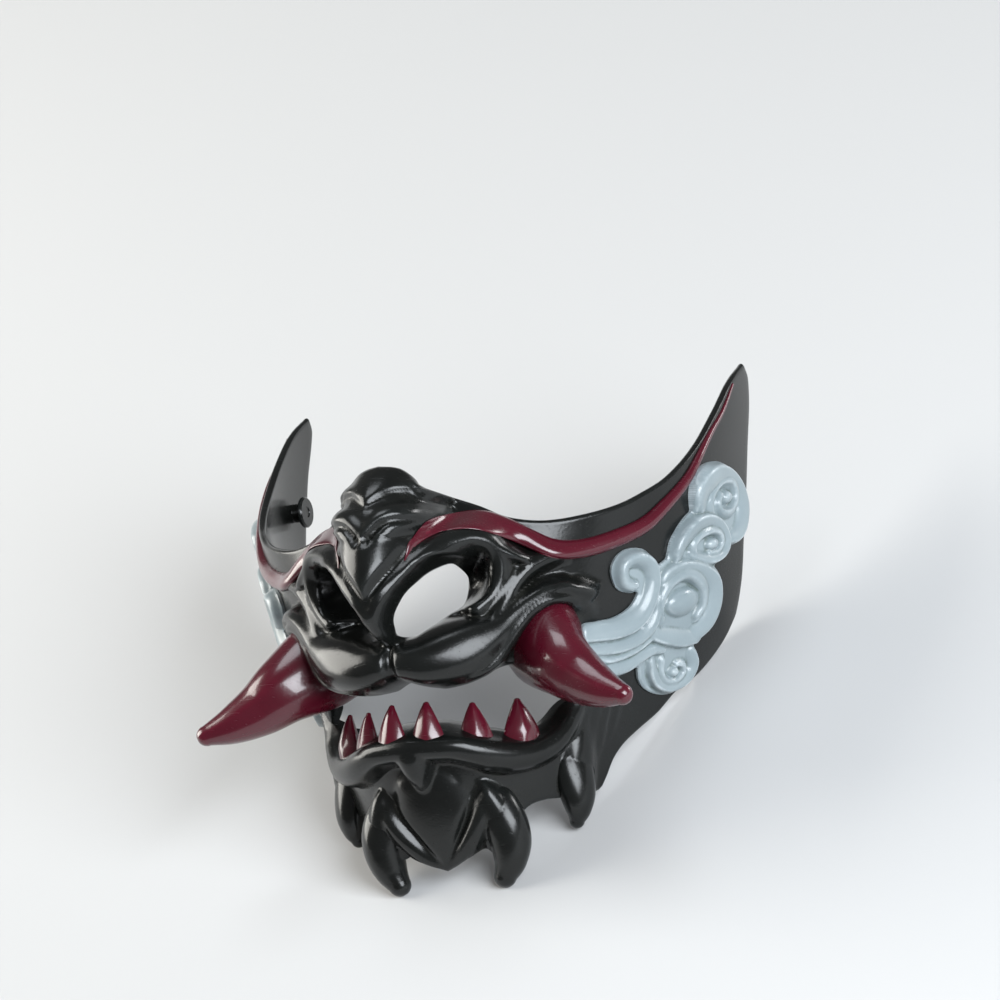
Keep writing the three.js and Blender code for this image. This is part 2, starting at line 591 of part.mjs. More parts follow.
// The cloud: scrolls that stand on low domes, and bands that run from them to the tusk.
// Wide: percent of bandWidth. Rise: percent of cloudRise.
const BANDS = [
  { name: 'hook', steps: 10, rows: table('across down wide rise',
    [36, 45.6, 60, 60], [41, 46.2, 78, 75], [46, 46, 92, 80], [49.6, 43, 100, 85], [51.2, 38.6, 96, 85],
    [51, 34, 92, 90], [48.2, 30.8, 84, 95], [45.4, 32.4, 80, 100], [46, 36, 70, 100], [47.6, 36.6, 60, 80]) },
  { name: 'middle band', steps: 5, rows: table('across down wide rise',
    [39, 49.8, 50, 60], [44, 51.2, 64, 72], [49, 50.8, 72, 76], [53.4, 47.6, 76, 70], [55.2, 42, 80, 70],
    [57.6, 38.6, 80, 70]) },
  { name: 'lower band', steps: 3, rows: table('across down wide rise',
    [42.6, 55.2, 46, 60], [47, 55.6, 66, 72], [51.6, 53.6, 76, 76], [56.5, 52.6, 84, 70]) },
  { name: 'middle scroll', steps: 8, rows: table('across down wide rise',
    [56.5, 52.6, 84, 76], [62, 52.6, 92, 80], [67, 50.4, 96, 85], [68.4, 45.4, 92, 90], [67.2, 40, 92, 90],
    [63.4, 35.8, 92, 90], [58.6, 34.4, 92, 85], [54.8, 36.6, 88, 80], [54, 40.5, 70, 70]) },
  { name: 'upper scroll', steps: 7, rows: table('across down wide rise',
    [58.2, 31.6, 84, 76], [59.4, 27.8, 90, 85], [62.4, 24.6, 96, 90], [66.6, 24.8, 92, 90],
    [70.2, 28.2, 84, 90],
    [70.4, 32.2, 76, 85], [67, 34.2, 64, 80], [63.6, 33.4, 56, 60]) },
  { name: 'top scroll', steps: 7, rows: table('across down wide rise',
    [65.4, 21, 96, 85], [65, 16.4, 104, 95], [68.6, 13, 104, 100], [73.6, 13.6, 104, 100],
    [77.8, 18, 104, 100],
    [78.8, 23.6, 104, 95], [76.4, 28.6, 96, 85], [72.6, 29.6, 70, 70]) },
  { name: 'bottom scroll', steps: 6, rows: table('across down wide rise',
    [56.2, 57.8, 84, 80], [57.6, 61.6, 90, 90], [61.6, 64, 84, 90], [65.4, 62, 84, 90], [65.6, 58, 76, 80],
    [61.6, 55.8, 64, 60]) },
];
// Domes: half breadth across and down as percents of bandWidth
const DOMES = table('across down broad tall rise rings',
  [60.4, 43.4, 150, 118, 84, 2], [60.2, 43.2, 92, 60, 105, 3], [66.8, 30, 100, 80, 84, 2],
  [67.2, 30.6, 44, 36, 105, 3], [71.8, 20.6, 150, 118, 84, 2], [71.8, 19.2, 56, 52, 105, 3],
  [60.8, 59.8, 98, 76, 84, 2], [60, 60, 46, 36, 105, 3]);

function dome(row) {
  const geometry = new THREE.SphereGeometry(1, 7, row.rings);
  geometry.rotateX(Math.PI / 2);
  const place = geometry.attributes.position;
  const perDegree = faceCurve(row.across + 0.5, row.down).distanceTo(faceCurve(row.across - 0.5, row.down));
  const point = new THREE.Vector3();
  for (let i = 0; i < place.count; i += 1) {
    point.fromBufferAttribute(place, i);
    const across = row.across + point.x * bandWidth * row.broad / 100 / perDegree;
    const down = row.down - point.y * bandWidth * row.tall / 100 * 100 / faceHeight;
    const height = skinHeight(across, down) + point.z * cloudRise * row.rise / 100;
    place.setXYZ(i, ...onFace(across, down, height).toArray());
  }
  return solidOfGeometry(geometry);
}

function cloudSolid() {
  const bands = BANDS.map((band) => limb(band.rows.map((row) => ({
    place: onFace(row.across, row.down, skinHeight(row.across, row.down)),
    out: faceNormal(row.across, row.down),
    wide: bandWidth / 2 * row.wide / 100,
    thick: cloudRise * row.rise / 100,
  })), LOW_BAND, band.steps));
  const solid = [...bands, ...DOMES.map(dome)].reduce((sum, part) => sum.add(part));
  return solid.subtract(skinCutter).subtract(tusk(gap)).subtract(ridge(gap));
}

// The strap's posts stand out of sight on the insides of the wings and point at each other
const POST = { across: 79, down: 12 };

function postSolid() {
  const [stem, head] = [postRadius, postHeadRadius];
  const neck = postLength - postHead;
  const outline = [[0, -2 * wall], [stem, -2 * wall], [stem, neck], [head, neck], [head, postLength], [0, postLength]];
  const geometry = new THREE.LatheGeometry(outline.map(([x, y]) => new THREE.Vector2(x, y)), 12);
  geometry.rotateZ(Math.PI / 2);
  const foot = onFace(POST.across, POST.down, relief(POST.across, POST.down) - wall);
  geometry.translate(foot.x, foot.y, foot.z);
  return solidOfGeometry(geometry).subtract(insideCutter);
}

const pieces = [];
function piece(name, solid, material) {
  const bodies = solid.decompose(); // a cut can leave a crumb beside the piece
  const [body] = bodies.sort((one, other) => other.volume() - one.volume());
  const mesh = new THREE.Mesh(geometryOf(body), material);
  mesh.name = name;
  pieces.push(mesh);
}
function pair(name, solid, material) {
  piece(`${name}_left`, solid, material);
  piece(`${name}_right`, mirrored(solid), material);
}

piece('shell', shellSolid(), black);
pair('tusk', tusk(0).subtract(skinCutter), burgundy);
pair('ridge', ridge(0).subtract(skinCutter), burgundy);
TEETH.forEach((tooth, i) => {
  const solid = toothSolid(tooth);
  piece(`tooth_${TEETH.length + 1 + i}`, solid, burgundy);
  piece(`tooth_${TEETH.length - i}`, mirrored(solid), burgundy);
});

pair('cloud', cloudSolid(), cloudGrey);
pair('strap_post', postSolid(), black);

// The lean at which the mask lies by itself, its lowest points ahead of and behind its middle
const worn = new THREE.Group();
worn.name = 'worn';
worn.add(...pieces);

function pointsAt(lean) {
  const turned = new THREE.Matrix4().makeRotationX(THREE.MathUtils.degToRad(lean));
  return pieces.flatMap((mesh) => {
    const place = mesh.geometry.attributes.position;
    return Array.from({ length: place.count },
      (_, i) => new THREE.Vector3().fromBufferAttribute(place, i).applyMatrix4(turned));
  });
}

function restLean() {
  let [flat, upright] = [20, 80];
  while (upright - flat > 1e-7) {
    const lean = (flat + upright) / 2;
    const points = pointsAt(lean);
    const middle = points.reduce((sum, point) => sum + point.y, 0) / points.length;
    const lowest = points.reduce((low, point) => (point.z < low.z ? point : low));
    if (lowest.y < middle) upright = lean;
    else flat = lean;
  }
  return flat;
}

const lean = restLean();
const box = new THREE.Box3().setFromPoints(pointsAt(lean));
worn.rotation.x = THREE.MathUtils.degToRad(lean);
worn.position.set(-(box.min.x + box.max.x) / 2, -(box.min.y + box.max.y) / 2, -box.min.z);
const mask = new THREE.Group();
mask.name = 'face_guard';
mask.add(worn);
export default mask;
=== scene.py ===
import math

import bpy
import numpy as np
from mathutils import Matrix, Vector


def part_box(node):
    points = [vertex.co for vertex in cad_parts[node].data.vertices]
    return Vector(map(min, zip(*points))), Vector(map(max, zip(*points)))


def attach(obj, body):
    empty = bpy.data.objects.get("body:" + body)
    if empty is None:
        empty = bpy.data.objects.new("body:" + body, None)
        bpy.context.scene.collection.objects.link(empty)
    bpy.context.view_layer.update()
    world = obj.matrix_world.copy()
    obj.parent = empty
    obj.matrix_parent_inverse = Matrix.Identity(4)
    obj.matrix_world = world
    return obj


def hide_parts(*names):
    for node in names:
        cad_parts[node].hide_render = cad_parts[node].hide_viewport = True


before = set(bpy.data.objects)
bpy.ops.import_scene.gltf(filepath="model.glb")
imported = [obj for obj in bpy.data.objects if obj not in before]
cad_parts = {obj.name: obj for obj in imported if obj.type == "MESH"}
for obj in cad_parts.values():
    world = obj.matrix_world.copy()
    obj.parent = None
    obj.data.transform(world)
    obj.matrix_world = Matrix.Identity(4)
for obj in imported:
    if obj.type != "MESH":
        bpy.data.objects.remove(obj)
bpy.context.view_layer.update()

bl_info = {
    "name": "Samurai Face Guard",
    "version": (1, 0, 0),
    "blender": (4, 5, 0),
    "location": "View3D > Sidebar > Face Guard",
    "description": "Builds a moulded half mask with tusks, teeth, brow ridges and scroll clouds",
    "category": "Add Mesh",
}

# The solids' pose: the worn face leaned back as it lies by itself, then moved onto the floor, in mm
LEAN = math.radians(53.557397)
LEANED = np.array([[1, 0, 0], [0, math.cos(LEAN), -math.sin(LEAN)], [0, math.sin(LEAN), math.cos(LEAN)]])
SHIFT = np.array([0.0, 4.20128, 93.98742])


# ---------------------------------------------------------------- curves and the face's surface
def reader(x, y):
    """A smooth curve through the values y at x: a cubic whose slope at each value is that of its two
    neighbours, held level beyond the ends."""
    x, y = np.asarray(x, float), np.asarray(y, float)
    before = np.maximum(np.arange(len(x)) - 1, 0)
    after = np.minimum(np.arange(len(x)) + 1, len(x) - 1)
    slope = (y[after] - y[before]) / (x[after] - x[before])

    def read(at):
        at = np.clip(at, x[0], x[-1])
        i = np.clip(np.searchsorted(x, at, side="right") - 1, 0, len(x) - 2)
        step = x[i + 1] - x[i]
        t = (at - x[i]) / step
        rest = 1 - t
        return (y[i] * (1 + 2 * t) * rest**2 + slope[i] * step * t * rest**2
                + y[i + 1] * (3 - 2 * t) * t**2 - slope[i + 1] * step * t**2 * rest)
    return read


def through(rows, count):
    """So many rows of a smooth curve through every row of an array, evenly stepped along them."""
    rows = np.array(rows, float)
    at = np.linspace(0, len(rows) - 1, count)
    return np.stack([reader(np.arange(len(rows)), column)(at) for column in rows.T], -1)


def stepped(rows, steps):
    """A smooth curve through the rows, with so many steps from each row to the next."""
    return through(rows, steps * (len(rows) - 1) + 1)


def closed_line(points, steps):
    """A smooth closed line through the points."""
    return stepped(points[-2:] + points + points[:3], steps)[2 * steps:-2 * steps]


# Across: degrees round from the middle. Down: percent of the face's height below the nose's top.
# Columns: down, half width and depth and centre in percent, and how far the cheeks fill out.
SECTIONS = np.array([
    [-15, 98.7, 92.7, -83.6, 6], [0, 100, 94.8, -82.9, 6.5], [10, 100, 96.4, -82.4, 7.5],
    [20, 100, 97.3, -81.8, 5.5], [35, 99.4, 99, -80.7, 1], [45, 96.8, 100, -80, -1],
    [55, 91.6, 99.5, -79, -3], [65, 85.7, 98.6, -78.2, -4.5], [77, 81.8, 95.5, -76.4, -2.5],
    [93, 77.9, 89, -74.6, 0], [110, 72.7, 81.8, -72.7, 0]])
section_width, section_depth, section_centre, section_fill = [
    reader(SECTIONS[:, 0], column) for column in SECTIONS.T[1:]]

# Sizes of the worn face in mm, and how far round from the middle the wings reach in degrees
FACE_WIDTH, FACE_HEIGHT, FACE_DEPTH, WING_ANGLE, NOSE_RISE = 154.0, 122.0, 110.0, 90.0, 36.0
# The mouth's corner in degrees, the radius of the lips' edge and the thickness of the wall in mm
MOUTH_ANGLE, LIP_ROLL, WALL = 34.5, 2.5, 2.5
# Small step round and down for the way out of the face
NORMAL_STEP = 0.1


def unit(vectors):
    """Vectors divided by their lengths."""
    return vectors / np.linalg.norm(vectors, axis=-1, keepdims=True)


def face_curve(across, down):
    """The plain face under all relief: at each level an ellipse round the face, its half width,
    depth and centre read down the table, filled out where it turns from front to side."""
    across, down = np.broadcast_arrays(np.asarray(across, float), np.asarray(down, float))
    angle = np.radians(across)
    fill = 1 + section_fill(down) / 100 * np.sin(2 * angle) ** 2
    half = fill * FACE_WIDTH / 2 * section_width(down) / 100
    depth = fill * FACE_DEPTH * section_depth(down) / 100
    centre = FACE_DEPTH * section_centre(down) / 100
    return np.stack([half * np.sin(angle), -FACE_HEIGHT * down / 100 + 0 * angle,
                     centre + depth * np.cos(angle)], -1)


def face_normal(across, down):
    """The way out of the face: the cross product of its small steps round and up."""
    side = face_curve(across + NORMAL_STEP, down) - face_curve(across - NORMAL_STEP, down)
    up = face_curve(across, down - NORMAL_STEP) - face_curve(across, down + NORMAL_STEP)
    return unit(np.cross(side, up))


def on_face(across, down, height):
    """A place on the face's curve, moved out along the face's normal by the height."""
    return face_curve(across, down) + face_normal(across, down) * np.asarray(height)[..., None]


def in_frame(points):
    """Points of the worn face in mm, turned by the lean, moved onto the floor and put in metres."""
    return (points @ LEANED.T + SHIFT) / 1000


# ---------------------------------------------------------------- edges of the shell
# The rear edge: down, percent of the wing's angle. Top and bottom: percent of the way round to the
# rear edge, down. The lips: percent of the way to the mouth's corner, down; behind it, on to the rear.
REAR_EDGE = np.array([
    [-12.5, 100], [-8, 101.5], [6.5, 96.6], [18.5, 93], [32, 89.7], [42.5, 89], [48.5, 88.9], [110, 88.9]])
TOP_EDGE = np.array([
    [0, 1.5], [4.5, 2.5], [7.5, 5], [9.5, 7.3], [12.2, 8.6], [20.5, 12.1], [27.5, 15.7], [36.5, 17.8],
    [46.5, 17.8], [55, 16.7], [61, 14.8], [67.5, 12], [76, 5.5], [83, -2], [90, -8.4], [100, -12.2]])
BOTTOM_EDGE = np.array([
    [0, 99.5], [3.5, 98.3], [8, 96.4], [12, 95.4], [16, 96], [22, 91.5], [29, 87], [34.5, 86.2], [39, 86.5],
    [52.5, 86.7], [55.5, 83.7], [58, 80.2], [62, 76.9], [68, 74], [75, 71], [81.5, 66.8], [88.5, 64.2],
    [94.5, 59.4], [98.5, 53.8], [100, 48.5]])
UPPER_LIP = np.array([
    [0, 52.4], [6, 53.3], [18.5, 55], [32.5, 54.6], [46.5, 53], [60, 51.5], [75, 52.5], [90, 57.5],
    [100, 62]])
LOWER_LIP = np.array([[0, 62.5], [20, 63.2], [36, 64.9], [52, 66.8], [70, 68.4], [85, 67], [100, 62]])
BEHIND_MOUTH = np.array([[0, 62], [25, 53.5], [55, 41], [100, 21.5]])
rear_share, top_edge, bottom_edge, upper_lip, lower_lip, behind_mouth = [
    reader(*rows.T) for rows in (REAR_EDGE, TOP_EDGE, BOTTOM_EDGE, UPPER_LIP, LOWER_LIP, BEHIND_MOUTH)]
MOUTH_LEVEL = 62.0


def rear_angle(down):
    """How far round the wing's rear edge is at a level."""
    return WING_ANGLE * rear_share(down) / 100


# ---------------------------------------------------------------- relief
# Each roll: the powers of its flank and of its full top, then its rows: across, down, rise as percent of
# the nose's rise and reach as percent of the face's height
ROLLS = {
    "bridge": (0.5, 1.8, [
        [0, 3, 40, 9], [0, 5.2, 50, 10], [0, 9, 71, 10.6], [0, 14, 88, 11.2], [0, 20, 97, 11.4],
        [0, 26, 102, 10.8], [0, 31, 103, 9], [0, 35, 100, 6], [0, 38, 92, 3.8]]),
    "cap": (0.5, 3, [
        [0.6, 9.6, 73, 5.6], [2, 9.5, 71, 5.6], [3.8, 9.2, 66, 5.4], [5.6, 9, 59, 5], [7.4, 9, 51, 4.2],
        [9, 9, 37, 3]]),
    "middle nose roll": (0.5, 3, [
        [0.6, 18.4, 96, 6.8], [1.8, 16.8, 94, 6.8], [3.2, 15.2, 90, 6.4], [5, 14.2, 82, 5.6],
        [7, 13.8, 68, 4.6], [9, 13.6, 46, 3.2]]),
    "nose tip": (0.5, 2, [
        [1.4, 28.6, 100, 5.8], [2.2, 26.4, 97, 6.2], [3.2, 24, 91, 6.2], [4.8, 20.8, 80, 5.6],
        [7.2, 17.6, 58, 4.6]]),
    "nostril rim": (0.5, 2, [
        [0, 38.8, 95, 4.4], [1, 35.4, 96, 5.6], [2.8, 32, 92, 6.4], [4.7, 28.9, 86, 6.6],
        [6.7, 26.1, 79, 6.6], [8.8, 23.5, 70, 6.2], [11, 21.5, 60, 5.8], [13.6, 20.3, 51, 5.2],
        [16, 19.8, 44, 4.8], [18.6, 21, 38, 4.4], [20.2, 24.4, 33, 4], [20.4, 28.4, 31, 3.8],
        [18.8, 33, 31, 3.8], [15.2, 37.4, 36, 3.4]]),
    "arch outside": (1.3, 2, [[20.6, 22.4, 33, 3.8], [22.6, 24.6, 30, 4], [25, 26.2, 25, 3.6]]),
    "nose base": (0.6, 2, [[0, 37.6, 92, 3.8], [0, 40.4, 87, 3.2], [0, 42.4, 74, 2.6]]),
    "lip": (0.6, 2.6, [
        [1.2, 48, 60, 5.8], [3, 47.7, 62, 6.4], [5.6, 48, 61, 7.6], [9.6, 47, 56, 8.4], [13, 45.7, 51, 7.8],
        [16.5, 43.9, 45, 6.2], [19.4, 42, 40, 4.4], [22, 39.2, 35.5, 3.4], [25, 36.5, 31, 3],
        [28.5, 34.5, 27, 2.7], [33, 34.2, 22, 2.6], [38.5, 36.8, 15, 2.3]]),
    "tusk rim": (0.5, 2.4, [
        [8, 55, 42, 2], [11.5, 53.4, 43, 2.2], [14.9, 51.2, 43.5, 2.3], [17.9, 48.4, 42, 2.3],
        [20.5, 45, 39, 2.3], [23, 41.6, 35.5, 2.3], [26, 38.5, 31, 2.3], [30, 36.6, 27, 2.4],
        [34, 37.4, 20, 2.6], [38, 40.6, 11, 3], [40.4, 45, 3, 3]]),
    "cheek fold": (0.55, 2.2, [
        [32, 26.2, 14, 2.6], [28.6, 27, 18.6, 3], [25.4, 28.8, 23.4, 3.3], [22.8, 31.8, 27, 3.4],
        [20.6, 35.8, 31.6, 3.2], [18.6, 39.4, 36, 3], [16.4, 42.6, 40, 2.6]]),
    "lower lip": (0.5, 2.6, [
        [0, 67.4, 48, 4.8], [4, 67.8, 47, 4.6], [8, 68.4, 46, 4.6], [12, 70.2, 43, 4.6],
        [16, 72.1, 39, 4.7], [20.5, 73.3, 34.5, 4.7], [25, 73.5, 30, 4.5], [29, 72.5, 26, 4.3],
        [32, 70.4, 23, 4], [34.6, 67.4, 19.5, 3.6], [36.6, 63.8, 16, 3], [38.2, 59, 12, 2.6]]),
    "lip dip": (0.55, 2.4, [[0, 70, 48, 4.4], [0, 73.4, 42, 3.4], [0, 76.4, 31, 2.4]]),
    "first corner fold": (0.6, 2, [
        [40.6, 56, 8, 2], [39.6, 63, 12, 2.6], [38.4, 69, 13, 2.8], [37.3, 75, 12.5, 3],
        [36.6, 80, 9, 3.2]]),
    "second corner fold": (0.6, 2, [
        [43.4, 57, 6, 2], [42.2, 64, 10.5, 2.4], [41, 70, 11, 2.5], [39.8, 76, 9.5, 2.7],
        [38.8, 81, 6, 2.8]]),
    "third corner fold": (0.6, 2, [
        [46, 58, 4, 1.8], [45, 64, 8.5, 2.2], [43.8, 70, 9, 2.3], [42.4, 76, 7, 2.3], [41.4, 81, 3, 2]]),
    "fourth corner fold": (0.6, 2, [
        [49, 60, 2, 1.8], [48, 65, 6, 2.2], [46.6, 71, 6, 2.2], [45, 76, 3, 2]]),
    "fang root": (0.6, 2.4, [
        [13, 78.8, 22, 1.8], [13.9, 81.6, 27, 3.4], [15.2, 85.6, 30, 4.6], [16.2, 90.5, 31, 5.2],
        [16.4, 95, 28, 5]]),
    "spike root": (0.7, 2.2, [
        [37.6, 64, 10, 3.6], [37.2, 70, 14, 5], [36.8, 76, 15.5, 6], [36.4, 81, 15, 6.2],
        [36, 85.6, 13, 5.6]]),
    "chin leaf": (0.7, 2.4, [
        [12.6, 80.4, 22, 2.4], [11.4, 84.5, 27.6, 3.8], [9.4, 89, 28, 4.6], [6.4, 93.5, 25, 4.6],
        [3.6, 97, 21, 3.6]]),
    "chin": (0.7, 3, [[0, 79, 25, 11], [0, 88, 25, 12], [0, 98, 17, 10.5]]),
}
# Hollows sunk into the rolls: the power of the flank, then rows as a roll's
HOLLOWS = {
    "nostril": (0.6, [[3, 40.6, 20, 2], [5.2, 36.9, 28, 3.1], [8.2, 33.6, 34, 4.3], [12.4, 30, 34, 6.2]]),
    "lip groove": (1.1, [[0, 45.6, 4, 1], [0, 50, 7, 1.3], [0, 56, 6, 1.8]]),
}
# Sharp creases cut into the rolls: across, down, depth and half width in the same units
CREASES = {
    "under the cap": [
        [0, 11.2, 3, 1.4], [0.9, 10.9, 6, 1.4], [2.4, 9.9, 8, 1.4], [4, 9, 9, 1.3], [5.6, 8.7, 10, 1.3],
        [8, 8.7, 10, 1.3], [9.3, 8.9, 7, 1.2]],
    "cap fold": [
        [1.6, 11.3, 2, 0.9], [3, 10.8, 4.5, 1], [4.6, 10.4, 6, 1], [6.6, 10.2, 7, 1.1],
        [8.9, 10.4, 6, 1.1]],
    "under the middle": [
        [0.5, 21, 4, 1.2], [1.1, 19.4, 8, 1.5], [2, 17.4, 9, 1.5], [3.2, 15.8, 10, 1.5],
        [4.6, 14.9, 11, 1.4], [6.4, 14.6, 11, 1.4], [9, 14.5, 8, 1.3]],
    "middle fold": [[2.4, 18.6, 1, 0.9], [3.2, 17.6, 3, 1], [4.4, 16.9, 4, 1], [5.8, 16.4, 2, 1]],
    "beside the tip": [
        [0, 36.4, 4, 1.6], [0.6, 34, 7, 1.7], [1.6, 31.7, 9, 1.7], [2.8, 29.4, 10, 1.7], [4, 27.1, 10, 1.7],
        [5, 25, 10, 1.7], [6, 22.6, 7, 1.5]],
    "beside the leaf": [
        [12.6, 79, 2, 1.2], [10.6, 82.4, 4, 1.8], [8.2, 86, 5, 2.3], [5.6, 89.8, 5, 2.3], [3, 93.8, 3, 2],
        [0.8, 97, 1, 1.6]],
    "ends of the pads": [[9.6, 6.8, 3, 1.8], [9.9, 9, 6, 2.1], [9.8, 11.6, 7, 2.1], [9.6, 14, 5, 2]],
}
# The wide swell under all rolls: its middle level, rise and spreads in the same units
MUZZLE = {"down": 61, "rise": 25, "spread_across": 36, "spread_down": 34}
# How far two rolls blend, in mm, and the share of its height that a lip keeps at its very edge
ROLL_BLEND, LIP_EDGE = 0.6, 0.28
TRACE_STEPS = 8


def trace(rows):
    """A smooth line through a roll's rows: its places on the face's curve, rises and reaches in mm."""
    across, down, rise, reach = stepped(rows, TRACE_STEPS).T
    return face_curve(across, down), NOSE_RISE * rise / 100, FACE_HEIGHT * reach / 100


def beside(places, a, b):
    """How far along the step from a to b the point nearest to each place is, from nothing to one, and
    the way from that point to the place."""
    step = b - a
    t = np.clip((places - a) @ step / max(step @ step, 1e-9), 0, 1)
    return t, places - a - t[:, None] * step


def profile(line, flank, full, places):
    """Height of a roll at each place: its rise at the nearest point of its line, times
    (1 - (distance / reach) to the power full) to the power flank."""
    best = np.zeros(len(places))
    for (a, rise_a, reach_a), (b, rise_b, reach_b) in zip(zip(*line), [*zip(*line)][1:]):
        t, off = beside(places, a, b)
        off = np.linalg.norm(off, axis=1) / (reach_a + (reach_b - reach_a) * t)
        best = np.maximum(best, (rise_a + (rise_b - rise_a) * t) * np.maximum(1 - off**full, 0) ** flank)
    return best


def soft_max(a, b, blend):
    """The larger of two heights, rounded where they are nearly equal."""
    overlap = np.maximum(blend - np.abs(a - b), 0)
    return np.maximum(a, b) + overlap**2 / (4 * blend)


def mouth_edges(share):
    """Down of the upper and lower lip's edge at a share of the way round to the rear edge."""
    part = 100 * share / CORNER_SHARE
    behind = behind_mouth(100 * (share - CORNER_SHARE) / (100 - CORNER_SHARE))
    return np.where(part < 100, upper_lip(part), behind), np.where(part < 100, lower_lip(part), behind)


def relief(across, down):
    """Height over the face's curve: a wide swell, then the soft larger of every roll, less the
    hollows, and drawn back where a lip's edge rolls over."""
    shape = np.shape(across)
    side = np.abs(np.ravel(across))
    down = np.ravel(down)
    places = face_curve(side, down)
    swell = (side / MUZZLE["spread_across"]) ** 2 + ((down - MUZZLE["down"]) / MUZZLE["spread_down"]) ** 2
    height = NOSE_RISE * MUZZLE["rise"] / 100 * np.exp(-swell)
    for flank, full, rows in ROLLS.values():
        height = soft_max(height, profile(trace(rows), flank, full, places), ROLL_BLEND)
    for flank, rows in HOLLOWS.values():
        height = height - profile(trace(rows), flank, 2, places)
    height = height - np.max([profile(trace(rows), 2, 1, places) for rows in CREASES.values()], 0)
    upper, lower = mouth_edges(100 * side / rear_angle(down))
    gape = np.clip((lower - upper) * FACE_HEIGHT / 100 / (2 * LIP_ROLL), 0, 1)
    inset = np.minimum(np.abs(down - upper), np.abs(down - lower)) * FACE_HEIGHT / 100
    rolled = np.sqrt(1 - (1 - np.minimum(inset / LIP_ROLL, 1)) ** 2)
    return (height * (1 - gape * (1 - LIP_EDGE) * (1 - rolled))).reshape(shape)


# ---------------------------------------------------------------- the shell's grid
# Columns of one side, and rows above and below the mouth
COLUMNS, UPPER_ROWS, LOWER_ROWS = 112, 112, 76
# A front column's breadth over an even one's, and the least part of the lips' rounding that rows keep
FRONT_STEP, LEAST_OPEN = 0.38, 0.12
CORNER_SHARE = 100 * MOUTH_ANGLE / rear_angle(MOUTH_LEVEL)
# Radius of the open edges in mm, and where rows lie from the edge in to the end of its rounding
EDGE_ROUND = 1.1
EDGE_STEPS = np.array([0, 0.08, 0.3, 0.65, 1.0])
LIP_STEPS = np.array([0, 0.04, 0.15, 0.35, 0.65, 1.0])
# Rows and columns within the wall's thickness, and the thinnest wall in mm
BALL_ROWS, BALL_COLUMNS, THINNEST_WALL = 10, 8, 0.2


def column_downs(share):
    """Downs of every row of both blocks: top edge to upper lip, then lower lip to bottom edge,
    with rows close together at each edge."""
    upper, lower = mouth_edges(share)
    top, bottom = top_edge(share), bottom_edge(share)
    mm = 100 / FACE_HEIGHT
    gape = np.clip((lower - upper) / mm / (2 * LIP_ROLL), LEAST_OPEN, 1)
    lip = LIP_STEPS[:, None] * LIP_ROLL * mm * gape
    edge = EDGE_STEPS[:, None] * EDGE_ROUND * mm + 0 * share

    def rows(length, count, first, last):
        middle = np.linspace(0, 1, count + 3 - len(first) - len(last))[1:-1, None]
        inner = first[-1] + (length - last[-1] - first[-1]) * middle
        return np.concatenate([first, inner, length - last[::-1]])
    return np.concatenate([top + rows(upper - top, UPPER_ROWS, edge, lip),
                           lower + rows(bottom - lower, LOWER_ROWS, lip, edge)])


def shell_shares():
    """Columns of one side, even but closer together in front, and bunched at the wing's rear edge."""
    part = np.linspace(0, 1, COLUMNS - len(EDGE_STEPS) + 2)
    last = 100 * EDGE_ROUND / (math.radians(WING_ANGLE) * FACE_WIDTH / 2)
    body = (100 - last) * (FRONT_STEP * part + (1 - FRONT_STEP) * part**2)
    shares = np.concatenate([body, 100 - last * EDGE_STEPS[-2::-1]])
    corner = int(np.argmin(np.abs(shares - CORNER_SHARE)))
    shares[corner] = CORNER_SHARE
    return shares, corner


def eased(values, blocks=(slice(None),), passes=1):
    """Each height averaged 1-2-1 with its neighbours down and across, block by block; a block's end
    rows are kept."""
    values = values.copy()
    for _ in range(passes):
        for rows in blocks:
            part = values[rows]
            part[1:-1] = (part[:-2] + 2 * part[1:-1] + part[2:]) / 4
            part[:, 1:-1] = (part[:, :-2] + 2 * part[:, 1:-1] + part[:, 2:]) / 4
            values[rows] = part
    return values


def rounded_edge(distance, radius):
    """Drop of a surface near an open edge: a quarter circle of the radius."""
    inward = np.clip(radius - distance, 0, radius)
    return radius - np.sqrt(radius**2 - inward**2)


def wall_inside(places, heights):
    """Inner height: under every place, the lowest reach of a ball as thick as the wall, rolled
    along the outside."""
    def overlap(shift, count):
        return slice(max(0, shift), count + min(0, shift)), slice(max(0, -shift), count + min(0, -shift))
    inner = heights - WALL
    rows, columns = heights.shape
    for i in range(-BALL_ROWS, BALL_ROWS + 1):
        for j in range(-BALL_COLUMNS, BALL_COLUMNS + 1):
            here, there = zip(overlap(i, rows), overlap(j, columns))
            apart = np.sum((places[here] - places[there]) ** 2, -1)
            reach = np.sqrt(np.maximum(WALL**2 - apart, 0))
            low = np.where(apart < WALL**2, heights[there] - reach, np.inf)
            inner[here] = np.minimum(inner[here], low)
    return inner


def shell_surface():
    """The grid over the whole mask: across, down, outer and inner height of every row and column,
    and the column of the mouth's corner."""
    shares, corner = shell_shares()
    down = column_downs(shares)
    across = shares / 100 * rear_angle(down)
    blocks = [slice(0, UPPER_ROWS + 1), slice(UPPER_ROWS + 1, None)]
    height = relief(across, down)
    mirror = np.s_[:, :0:-1]
    across = np.hstack([-across[mirror], across])
    down, height = [np.hstack([part[mirror], part]) for part in (down, height)]
    height = eased(height, blocks)
    places = face_curve(across, down)
    inner = wall_inside(places, height)
    share = 100 * np.abs(across) / rear_angle(down)
    edge = np.minimum(down - top_edge(share), bottom_edge(share) - down) * FACE_HEIGHT / 100
    rear = (100 - share) / 100 * math.radians(WING_ANGLE) * FACE_WIDTH / 2
    drop = rounded_edge(np.minimum(edge, rear), EDGE_ROUND)
    return across, down, height - drop, np.minimum(inner + drop, height - drop - THINNEST_WALL), corner


